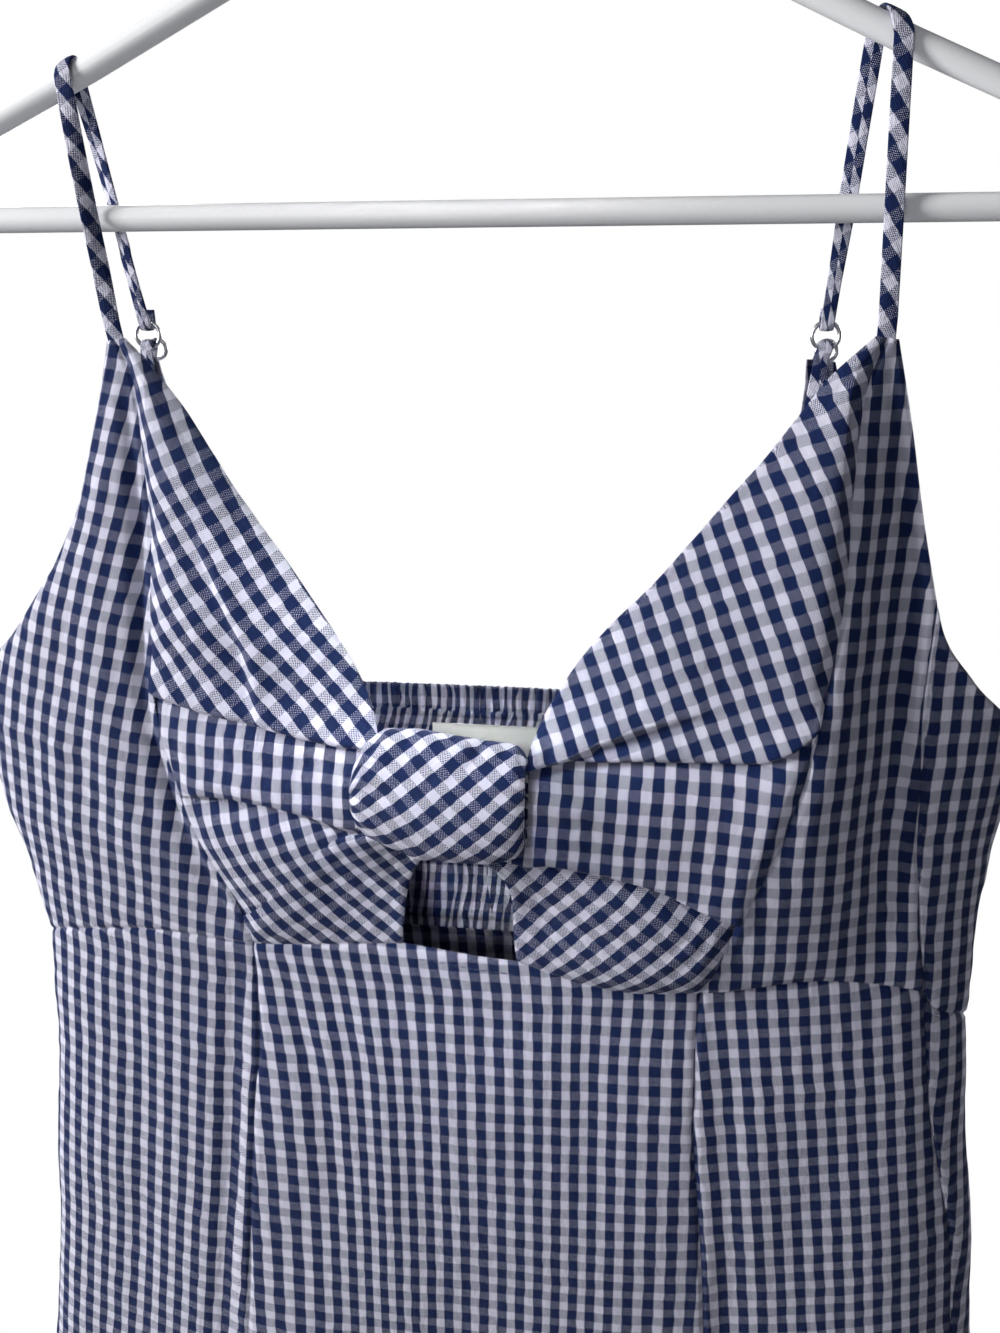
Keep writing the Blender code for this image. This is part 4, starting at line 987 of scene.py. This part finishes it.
knotForm = {
    "centreY": -52.0, "depth": 9.0, "wall": 0.55, "tilt": 45,
    # columns: x, top z, bottom z
    "outline": np.array([(-39.5, -391, -407), (-38, -386, -411), (-34, -379, -415), (-27, -374.3, -418.5),
                         (-15, -374, -423), (-2, -375.8, -423.4), (11, -377.2, -423.2),
                         (20, -378, -420.5), (23.5, -381, -416.5)], float),
    # columns: degrees from the top over the front, x of its start, x of its end, depth, width
    "gathers": ((38, -40, -12, 1.4, 6), (58, -40, -8, 1.0, 7), (84, -40, -16, 1.5, 7),
                (106, -40, -6, 0.9, 8), (128, -40, -14, 1.3, 7), (50, 24, -2, 1.2, 6), (118, 24, 8, 0.8, 8)),
    # short gathers down from the top: x, how far they reach in degrees, depth, width
    "notches": ((7, 40, 7.0, 2.4), (-3, 30, 3.2, 3.0), (-17, 44, 4.6, 3.4), (-29, 34, 3.6, 2.6),
                (17, 30, 3.6, 2.4)),
}


def roundedOblong(value):
    return np.sign(value) * np.abs(value) ** 0.75


def buildKnot():
    # A band of cloth round the gathered ends of the bust: a puffed sleeve whose two ends roll inwards
    outline = knotForm["outline"]
    s = np.concatenate([np.linspace(0, 0.10, 12)[:-1], np.linspace(0.10, 0.90, 60),
                        np.linspace(0.90, 1, 12)[1:]])  # closer together where the ends roll in
    x = outline[0, 0] + (outline[-1, 0] - outline[0, 0]) * s
    top, bottom = (np.interp(x, outline[:, 0], outline[:, column]) for column in (1, 2))
    turn = np.linspace(0, 2 * np.pi, 132)[:, None]  # from the back over the top and down the front
    ends = np.clip(np.minimum(s, 1 - s) / 0.10, 0, 1)
    roll = np.sqrt(np.clip(1 - (1 - ends) ** 2, 0, 1))
    belly = 0.80 + 0.20 * (1 - (2 * s - 1) ** 2)
    front = np.clip(-np.cos(turn), 0, 1)
    depth = knotForm["depth"] * belly * (1 + 0.25 * front)
    degrees = np.degrees(turn) - 90  # nought at the top, a quarter turn at the front's middle
    gathers = np.zeros((turn.shape[0], x.shape[0]))
    for place, start, end, sink, spread in knotForm["gathers"]:
        share = np.clip((x - start) / (end - start), 0, 1)
        curve = degrees - place - 5 * share
        gathers += sink * np.exp(-(curve / spread) ** 2) * (1 - share) ** 0.8
    for place, reach, sink, spread in knotForm["notches"]:
        fade = np.exp(-(np.clip(degrees - 6, 0, 400) / reach) ** 2) * np.clip((degrees + 60) / 40, 0, 1)
        gathers = gathers + sink * np.exp(-((x[None] - place + 0.05 * degrees) / spread) ** 2) * fade
    gathers += 0.30 * softNoise(*np.broadcast_arrays(x[None], np.degrees(turn) * 0.4), 9.0, 51)
    shrink = 3.2 * (1 - roll) + gathers * front ** 0.3
    y = knotForm["centreY"] + (depth - shrink) * roundedOblong(np.cos(turn))
    half, middle = 0.5 * (top - bottom), 0.5 * (top + bottom)
    z = middle + (half - 0.5 * shrink) * roundedOblong(np.sin(turn))
    points = np.stack([np.broadcast_to(x, y.shape), y, z], -1) * mm
    centre = np.stack(np.broadcast_arrays(x[None], np.full(y.shape, knotForm["centreY"]), middle[None]), -1)
    length = runLength(points[:, points.shape[1] * 4 // 9])
    places = np.stack(np.broadcast_arrays(x[None], -length[:, None]), -1)
    knot = shellObject("cloth_knot", points, points - centre * mm, knotForm["wall"] * mm,
                       turned(places, knotForm["tilt"]))
    addSheet(knot, "knot", places, ["cup_middle_L", "cup_middle_R"])


buildKnot()

hanger = {"tube": 4.5, "barZ": -200.0, "barEnd": 205.0, "peakZ": -86.0, "peakRadius": 28.0,
          "endRadius": 13.0, "armStart": (12.0, -90.0), "armEnd": (193.0, -175.0), "hookInside": 20.0,
          "hookTube": 3.6, "partingRidge": 0.10, "hookRidge": 0.02}
hanger["slope"] = ((hanger["armStart"][1] - hanger["armEnd"][1])
                   / (hanger["armEnd"][0] - hanger["armStart"][0]))
strapForm = {"width": 6.3, "pinch": 0.76, "thick": 1.5, "clear": 0.5, "tail": 4.5, "wall": 0.42, "tilt": 32,
             "ringRadius": 4.7, "ringWire": 0.75, "ringStandoff": 2.2, "loop": 2.5, "ringZ": -241.0,
             "sliderRadius": 3.6, "sliderWire": 0.7, "sliderOffset": (1.2, 4.6, -5.3), "tabFoot": -267.0,
             "clothGap": 0.3, "packedCloth": 1.4}
strapTable = {
    "L": {"side": -1, "arm": -148.0, "backArm": -148.0, "ring": -131.0, "frontTwist": 30.0,
          "backTwist": 30.0},
    "R": {"side": 1, "arm": 136.5, "backArm": 129.5, "ring": 121.5, "frontTwist": -8.0,
          "backTwist": 14.0},
}


def armHeight(x):
    return hanger["armStart"][1] - hanger["slope"] * (abs(x) - hanger["armStart"][0])


def ringCentre(strap):
    face = ringPoint(np.pi - frontAngle(strap["ring"], strapForm["ringZ"]), strapForm["ringZ"])[1] / mm
    return Vector((strap["ring"], face + strapForm["ringStandoff"], strapForm["ringZ"]))


def foldRound(wire, firstTurn, steps=14):
    turns = [firstTurn + math.pi * step / steps for step in range(steps + 1)]
    return [wire + Vector((0, math.cos(turn), math.sin(turn))) * strapForm["loop"] for turn in turns]


def edgeReach(twist):
    return 0.5 * strapForm["width"] * abs(math.sin(twist))


def strapRoute(strap):
    # From beneath the cup's top edge, over the arm, down the back and round the ring's upper wire
    hug = hanger["tube"] + strapForm["clear"] + 0.5 * strapForm["thick"]
    slope = math.atan(hanger["slope"]) * strap["side"]
    baseX, baseZ = strapBase[strap["side"]][1]
    baseY = ringPoint(frontAngle(baseX, baseZ), baseZ)[1] / mm
    topZ = strapBase[strap["side"]][0][1] + strapForm["clothGap"]
    start = Vector((baseX, baseY, topZ))
    topWire = ringCentre(strap) + Vector((0, 0, strapForm["ringRadius"]))
    down = topWire - Vector((0, strapForm["loop"], 0))
    route = [(start + Vector((0, y, z)), 0.0, 0.0) for y, z in ((2.4, -9.0), (2.2, -5.0), (1.4, -1.5))]
    for step in range(32):
        share = step / 32
        point = start.lerp(Vector((strap["arm"], -hug, armHeight(strap["arm"]))), share)
        twist = math.radians(strap["frontTwist"]) * math.sin(math.pi * share)
        point.y = min(point.y, -hug - edgeReach(twist))
        if step > 1:
            route.append((point, slope * max(0.0, (share - 0.55) / 0.45), twist))
    for step in range(25):
        share = step / 24
        turn = math.pi * (1 - share)
        x = strap["arm"] + (strap["backArm"] - strap["arm"]) * share
        rise = hug * math.sin(turn) / math.cos(slope)
        route.append((Vector((x, hug * math.cos(turn), armHeight(x) + rise)), slope, 0.0))
    for step in range(1, 28):
        share = step / 28
        point = Vector((strap["backArm"], hug, armHeight(strap["backArm"]))).lerp(down, share)
        twist = math.radians(strap["backTwist"]) * math.sin(math.pi * share)
        if point.z > hanger["barZ"] - 12:
            point.y = max(point.y, hug + edgeReach(twist))
        route.append((point, slope * max(0.0, (0.45 - share) / 0.45), twist))
    route += [(point, 0.0, 0.0) for point in foldRound(topWire, math.pi)]
    for share in (0.4, 0.8, 1.0):
        tail = Vector((0, strapForm["loop"] - 0.4 * share, strapForm["tail"] * share))
        route.append((topWire + tail, 0.0, 0.0))
    return route


def flatTube(name, route, widths, thick, tilt, node, rests):
    # A narrow band of cloth sewn into a flat tube, along points with a tilt and a twist
    count = 40
    turn = np.linspace(0, 2 * np.pi, count + 1) + math.pi / 2
    rows, outward, along = [], [], [0.0]
    for index, ((point, tiltThere, twist), width) in enumerate(zip(route, widths)):
        before, after = route[max(index - 1, 0)][0], route[min(index + 1, len(route) - 1)][0]
        forward = (after - before).normalized()
        facing = forward.cross(Vector((math.cos(tiltThere), 0, -math.sin(tiltThere)))).normalized()
        across = facing.cross(forward).normalized()
        across = across * math.cos(twist) + facing * math.sin(twist)
        facing = forward.cross(across).normalized()
        u = -np.sign(np.cos(turn)) * np.abs(np.cos(turn)) ** 0.62 * 0.5 * width
        v = np.sign(np.sin(turn)) * np.abs(np.sin(turn)) ** 0.85 * 0.5 * thick
        v = v * (1 - 0.16 * np.exp(-((np.abs(u) - 0.5 * width + 1.0) / 0.35) ** 2))
        flat = np.outer(u, np.array(across)) + np.outer(v, np.array(facing))
        outward.append(flat)
        rows.append(flat + np.array(point))
        if index:
            along.append(along[-1] + (point - route[index - 1][0]).length)
    rows, outward = np.array(rows), np.array(outward)
    around = runLength(rows[len(rows) // 3] * mm)
    places = np.stack(np.broadcast_arrays(around[None], np.array(along)[:, None]), -1)
    band = shellObject(name, rows * mm, outward, strapForm["wall"] * mm, turned(places, tilt))
    addSheet(band, node, places, rests)


def pinchedWidths(count, tail):
    # The strap narrows where it is folded round its ring
    narrow = np.clip((count - tail - np.arange(count)) / 8, 0, 1)
    return strapForm["width"] * (strapForm["pinch"] + (1 - strapForm["pinch"]) * narrow)


for name, strap in strapTable.items():
    route = strapRoute(strap)
    flatTube("cloth_strap_" + name, route, pinchedWidths(len(route), 22), strapForm["thick"],
             strapForm["tilt"], "strap_" + name, ["hanger_frame", "strap_ring_" + name])
    ring = ringCentre(strap)
    first, last = backPoint[strap["side"]]
    middleX = 0.5 * (first[0] + last[0])
    clear = strapForm["clothGap"] + 0.5 * strapForm["thick"]
    legs = []
    for out in (clear, -strapForm["packedCloth"] - clear):
        heights = np.linspace(strapForm["tabFoot"], first[1], 7)
        face = ringPoint(np.pi - frontAngle(middleX, heights), heights, out)
        legs.append([Vector(point / mm) for point in face])
    lowWire = ring - Vector((0, 0, strapForm["ringRadius"]))
    points = legs[0] + foldRound(lowWire, 0.0) + legs[1][::-1]
    away = np.abs(np.linspace(-1, 1, len(points)))
    flare = (1.5 - strapForm["pinch"]) * np.clip((away - 0.55) / 0.45, 0, 1)
    widths = strapForm["width"] * (strapForm["pinch"] + flare)
    flatTube("cloth_back_tab_" + name, [(point, 0.0, 0.0) for point in points], widths,
             strapForm["thick"] - 0.2, strapForm["tilt"], "back_tab_" + name, ["strap_ring_" + name])
print("knot and straps ready")


def sweptTube(name, points, radii, cyclic, material, node, ridge=0.0, sides=28):
    # Round tube along a line that lies in the hanger's plane or beside it
    points = np.asarray(points, float)
    count = len(points)
    ahead = np.roll(points, -1, 0) if cyclic else np.concatenate([points[1:], points[-1:]])
    behind = np.roll(points, 1, 0) if cyclic else np.concatenate([points[:1], points[:-1]])
    forward = ahead - behind
    forward /= np.linalg.norm(forward, axis=1, keepdims=True)
    across = np.cross(forward, (0.0, 1.0, 0.0))
    across /= np.linalg.norm(across, axis=1, keepdims=True)
    turn = np.linspace(0, 2 * np.pi, sides, endpoint=False)
    swell = 1 + ridge * np.exp(-(np.cos(turn) / 0.10) ** 2)
    radii = np.asarray(radii, float)[:, None, None]
    rings = (points[:, None] + radii * (np.cos(turn) * swell)[None, :, None] * np.array((0.0, 1.0, 0.0))
             + radii * (np.sin(turn) * swell)[None, :, None] * across[:, None])
    index = np.arange(count * sides).reshape(count, sides)
    faces = []
    for row in range(count if cyclic else count - 1):
        low, high = index[row], index[(row + 1) % count]
        faces += [(low[k], low[(k + 1) % sides], high[(k + 1) % sides], high[k]) for k in range(sides)]
    if not cyclic:
        faces += [tuple(index[0][::-1]), tuple(index[-1])]
    tube = newObject(name, rings.reshape(-1, 3) * mm, faces)
    mesh = bmesh.new()
    mesh.from_mesh(tube.data)
    bmesh.ops.recalc_face_normals(mesh, faces=mesh.faces)
    mesh.to_mesh(tube.data)
    mesh.free()
    finishPiece(tube, material, node)


def arcPoints(centreX, centreZ, radius, start, end, steps):
    turns = np.radians(np.linspace(start, end, steps + 1))
    return [(centreX + radius * math.cos(turn), 0.0, centreZ + radius * math.sin(turn)) for turn in turns]


def densified(points, step):
    # More points along straight stretches
    result = [points[0]]
    for start, end in zip(points, points[1:]):
        count = max(1, int(math.dist(start, end) / step))
        for k in range(1, count + 1):
            result.append(tuple(a + (b - a) * k / count for a, b in zip(start, end)))
    return result


def buildHanger():
    tilt = math.degrees(math.atan(hanger["slope"]))
    peak = hanger["peakRadius"]
    right = arcPoints(0, hanger["peakZ"] - peak, peak, 90, 90 - tilt, 10)[1:]
    right += [(x, 0.0, armHeight(x)) for x in (40.0, 90.0, 140.0)]
    right += arcPoints(hanger["barEnd"] - hanger["endRadius"], hanger["barZ"] + hanger["endRadius"],
                       hanger["endRadius"], 90 - tilt, -90, 28)
    right += [(x, 0.0, hanger["barZ"]) for x in (150.0, 100.0, 50.0)]
    left = [(-x, y, z) for x, y, z in right[::-1]]
    loop = densified([(0.0, 0.0, hanger["peakZ"])] + right + [(0.0, 0.0, hanger["barZ"])] + left, 6.0)
    sweptTube("hanger_tube", loop, np.full(len(loop), hanger["tube"]), True, hangerPlastic,
              "hanger_frame", ridge=hanger["partingRidge"] / hanger["tube"])
    bend = hanger["hookInside"] + hanger["hookTube"]
    hook = arcPoints(0, -hanger["hookInside"], bend, -38, 205, 60)
    startX, startZ = hook[0][0], hook[0][2]
    foot = hanger["peakZ"] + 1.0
    base = foot + hanger["tube"] - 0.7
    stem = [(0, 0, foot), (0, 0, foot + 3), (0, 0, base + 2), (0, 0, base + 6),
            (0.05 * startX, 0, base + 12), (0.33 * startX, 0, base + 18), (0.70 * startX, 0, startZ - 7)]
    line = np.array(densified(stem + hook, 2.0), float)
    for turn in range(6):
        line[1:-1] = 0.5 * line[1:-1] + 0.25 * (line[2:] + line[:-2])
    tip = line[-1] - line[-2]
    tip /= np.linalg.norm(tip)
    capTurns = np.linspace(0.15, 1.45, 7)
    cap = line[-1] + np.outer(hanger["hookTube"] * 0.5 * np.sin(capTurns), tip)
    radii = hanger["hookTube"] + 2.0 * np.exp(-np.maximum(line[:, 2] - foot - 3, 0) / 4.0)
    radii = np.concatenate([radii, hanger["hookTube"] * np.cos(capTurns)])
    sweptTube("hanger_top_hook", np.concatenate([line, cap]), radii, False, hangerPlastic,
              "hanger_hook", ridge=hanger["hookRidge"])


def buildRings():
    turns = np.linspace(0, 2 * np.pi, 48, endpoint=False)
    circle = np.stack([np.cos(turns), 0 * turns, np.sin(turns)], -1)
    for name, strap in strapTable.items():
        for kind, offset in (("ring", (0, 0, 0)), ("slider", strapForm["sliderOffset"])):
            line = np.array(ringCentre(strap)) + offset + strapForm[kind + "Radius"] * circle
            sweptTube("metal_" + kind + "_" + name, line, np.full(len(line), strapForm[kind + "Wire"]), True,
                      strapMetal, "strap_" + kind + "_" + name, sides=16)


labelForm = {"left": -24.5, "width": 46.0, "top": -396.0, "height": 16.0, "inset": 2.0, "thick": 0.45}


def buildLabel():
    # Blank woven tape, sewn along its top edge and hanging a little free below
    across, down = np.linspace(0, 1, 60), np.linspace(0, 1, 24)
    u, v = np.meshgrid(across, down)
    x = labelForm["left"] + labelForm["width"] * u
    z = labelForm["top"] - labelForm["height"] * v
    bow = 0.5 * v ** 2 + 0.25 * np.sin(3.0 * u + 0.6) * v - 0.35 * np.exp(-((v - 0.08) / 0.05) ** 2)
    angle = np.pi - frontAngle(x, z)
    points = ringPoint(angle, z, -labelForm["inset"] - bow)
    outward = ringPoint(angle, z) - ringPoint(angle, z, -1.0)
    places = np.stack([x, z], -1)
    tape = shellObject("cloth_label_blank", points, -outward, labelForm["thick"] * mm, places)
    addSheet(tape, "label_blank", places, ["back_smocked_panel"], labelTape)


# profile: share of one stitch, height over the cloth
stitching = {"pitch": 2.7, "length": 1.9, "radius": 0.20, "sides": 6,
             "profile": ((0.0, -0.30), (0.2, 0.06), (0.5, 0.16), (0.8, 0.06), (1.0, -0.30))}


def stitchRow(name, angles, heights, outs):
    # A row of sewn stitches, each a short thread that dips into the cloth at both ends
    points = ringPoint(angles, heights, outs)
    length = runLength(points)
    normal = ringPoint(angles, heights, outs + 1.0) - points
    turns = np.linspace(0, 2 * np.pi, stitching["sides"], endpoint=False)

    def along(values, at):
        return np.array([np.interp(at, length, values[:, axis]) for axis in range(3)])

    verts, faces = [], []
    sides, rings = stitching["sides"], len(stitching["profile"])
    for start in np.arange(0.6, length[-1] - stitching["length"], stitching["pitch"]):
        base = len(verts)
        for share, rise in stitching["profile"]:
            at = start + share * stitching["length"]
            place, facing = along(points, at), along(normal, at) / mm
            side = np.cross(along(points, at + 0.3) - place, facing)
            side /= max(np.linalg.norm(side), 1e-12)
            for turn in turns:
                spoke = side * math.cos(turn) + facing * math.sin(turn)
                verts.append(place + facing * rise * mm + stitching["radius"] * mm * spoke)
        for row in range(rings - 1):
            for k in range(sides):
                a, b = base + row * sides + k, base + row * sides + (k + 1) % sides
                faces.append((a, b, b + sides, a + sides))
        faces += [tuple(range(base + sides - 1, base - 1, -1)),
                  tuple(range(base + (rings - 1) * sides, base + rings * sides))]
    return finishPiece(newObject(name, np.array(verts), faces), sewingThread)


buildHanger()
buildRings()
buildLabel()
print("hanger, rings and label ready")

keyholePath = seamPath(keyholeBottom)
casingPath = straightPath(panelEdge(smocking["casingBottom"], 1), panelEdge(smocking["casingBottom"], -1))
hemRows = {}
for node, left, right in (("front_centre_skirt", bust[-1]["princess"], bust[1]["princess"]),
                          ("front_side_skirt_R", bust[1]["princess"], bust[1]["skirtSide"]),
                          ("front_side_skirt_L", bust[-1]["skirtSide"], bust[-1]["princess"]),
                          ("back_skirt", backRight, backLeft)):
    hemPath = straightPath(left[-1], right[-1])
    hemRows[node] = [stitchRow("hem_stitches_" + node, hemPath[:, 0], hemPath[:, 1] + 18.0, 0.25)]
hemRows["front_centre_skirt"].append(
    stitchRow("keyhole_stitches", keyholePath[:, 0], keyholePath[:, 1] - 5.5, 0.1))
hemRows["back_casing"] = [stitchRow("casing_stitches", casingPath[:, 0], casingPath[:, 1] + 1.0, 1.0)]
for piece, flat, area, rests in sheets:
    node = piece.name.removeprefix("cloth_")
print("stitching ready,", len(sheets), "cloth pieces declared")

studio = {"floorZ": -1.36, "floorRadius": 0.58, "floorEdge": 0.012, "around": (0.93, 0.95, 1.0, 1),
          "aroundStrength": 0.15, "camera": (0.06782603, -0.42544853, -0.23766012), "yaw": 8.2,
          "pitch": 16.5, "lens": 31.06}
paperLook = {"Base": (0.80, 0.80, 0.81, 1), "Clouding": 0.03, "Scuffs": 0.05, "Smoothness": 0.8,
             "bump": (0.1, 0.0004), "shader": {"Specular IOR Level": 0.2}}


def buildFloor():
    # A low round plinth of pale paper board below the dress, with a rounded edge
    edge = studio["floorEdge"]
    profile = [(studio["floorRadius"] - edge, 0.0)]
    for turn in np.radians(np.linspace(75, -90, 12)):
        profile.append((studio["floorRadius"] + edge * (math.cos(turn) - 1), edge * (math.sin(turn) - 1)))
    count, rows = 128, len(profile)
    verts = [(radius * math.cos(turn), radius * math.sin(turn), studio["floorZ"] + height)
             for radius, height in profile for turn in np.linspace(0, 2 * np.pi, count, endpoint=False)]
    faces = [(row * count + k, (row + 1) * count + k, (row + 1) * count + (k + 1) % count,
              row * count + (k + 1) % count) for row in range(rows - 1) for k in range(count)]
    faces += [tuple(range(count)), tuple(range(rows * count - 1, (rows - 1) * count - 1, -1))]
    plinth = newObject("studio_floor", np.array(verts), faces)
    plinth.data.materials.append(groupMaterial("studioPaper", fineGrain, paperLook))


# Watts, and sides in metres
lamps = {
    "keyLight": {"place": (-1.40, -0.62, 0.10), "target": (0.0, 0.0, -0.42), "size": (0.45, 0.9),
                 "power": 33.0, "colour": (1.0, 0.99, 0.98)},
    "frontLight": {"place": (-0.5, -1.6, 0.0), "target": (0.0, 0.0, -0.42), "size": (0.6, 0.6),
                   "power": 3.2},
    # a narrow beam down the neck, on to the inside of the back
    "insideLight": {"place": (-0.12, -0.80, 0.90), "target": (-0.01, 0.02, -0.43), "size": (0.12, 0.12),
                    "power": 0.09, "spread": 8},
    "backLeftLight": {"place": (-1.4, 1.7, 0.3), "target": (0.0, 0.0, -0.6), "size": (1.0, 1.2),
                      "power": 22.0},
    "backRightLight": {"place": (1.6, 1.7, 0.1), "target": (0.0, 0.0, -0.6), "size": (1.0, 1.2),
                       "power": 30.0},
}


def areaLight(name, place, target, size, power, colour=(1, 1, 1), spread=180):
    light = bpy.data.lights.new(name, "AREA")
    light.shape = "RECTANGLE"
    light.size, light.size_y = size
    light.energy = power
    light.spread = math.radians(spread)
    light.color = colour
    lamp = bpy.data.objects.new(name, light)
    lamp.location = place
    lamp.rotation_euler = (Vector(target) - Vector(place)).to_track_quat("-Z", "Y").to_euler()
    bpy.context.scene.collection.objects.link(lamp)


buildFloor()
for name, lamp in lamps.items():
    areaLight(name, **lamp)

# The surroundings are white to the camera, and a softer, dimmer light on the dress
world = bpy.data.worlds.new("studioWorld")
bpy.context.scene.world = world
world.use_nodes = True
sky = world.node_tree
around = sky.nodes["Background"]
around.inputs["Color"].default_value = studio["around"]
around.inputs["Strength"].default_value = studio["aroundStrength"]
seen = sky.nodes.new("ShaderNodeBackground")
seen.inputs["Color"].default_value = (1, 1, 1, 1)
chosen = sky.nodes.new("ShaderNodeMixShader")
sky.links.new(sky.nodes.new("ShaderNodeLightPath").outputs["Is Camera Ray"], chosen.inputs[0])
sky.links.new(around.outputs[0], chosen.inputs[1])
sky.links.new(seen.outputs[0], chosen.inputs[2])
sky.links.new(chosen.outputs[0], sky.nodes["World Output"].inputs["Surface"])
bpy.context.scene.view_settings.view_transform = "Standard"

camera = bpy.data.cameras.new("photoCamera")
camera.lens = studio["lens"]
camera.sensor_width = 36.0
camera.clip_start = 0.02
viewer = bpy.data.objects.new("photoCamera", camera)
yaw, pitch = math.radians(studio["yaw"]), math.radians(studio["pitch"])
viewer.location = studio["camera"]
aim = Vector((-math.sin(yaw) * math.cos(pitch), math.cos(yaw) * math.cos(pitch), -math.sin(pitch)))
viewer.rotation_euler = aim.to_track_quat("-Z", "Y").to_euler()
bpy.context.scene.collection.objects.link(viewer)
bpy.context.scene.camera = viewer
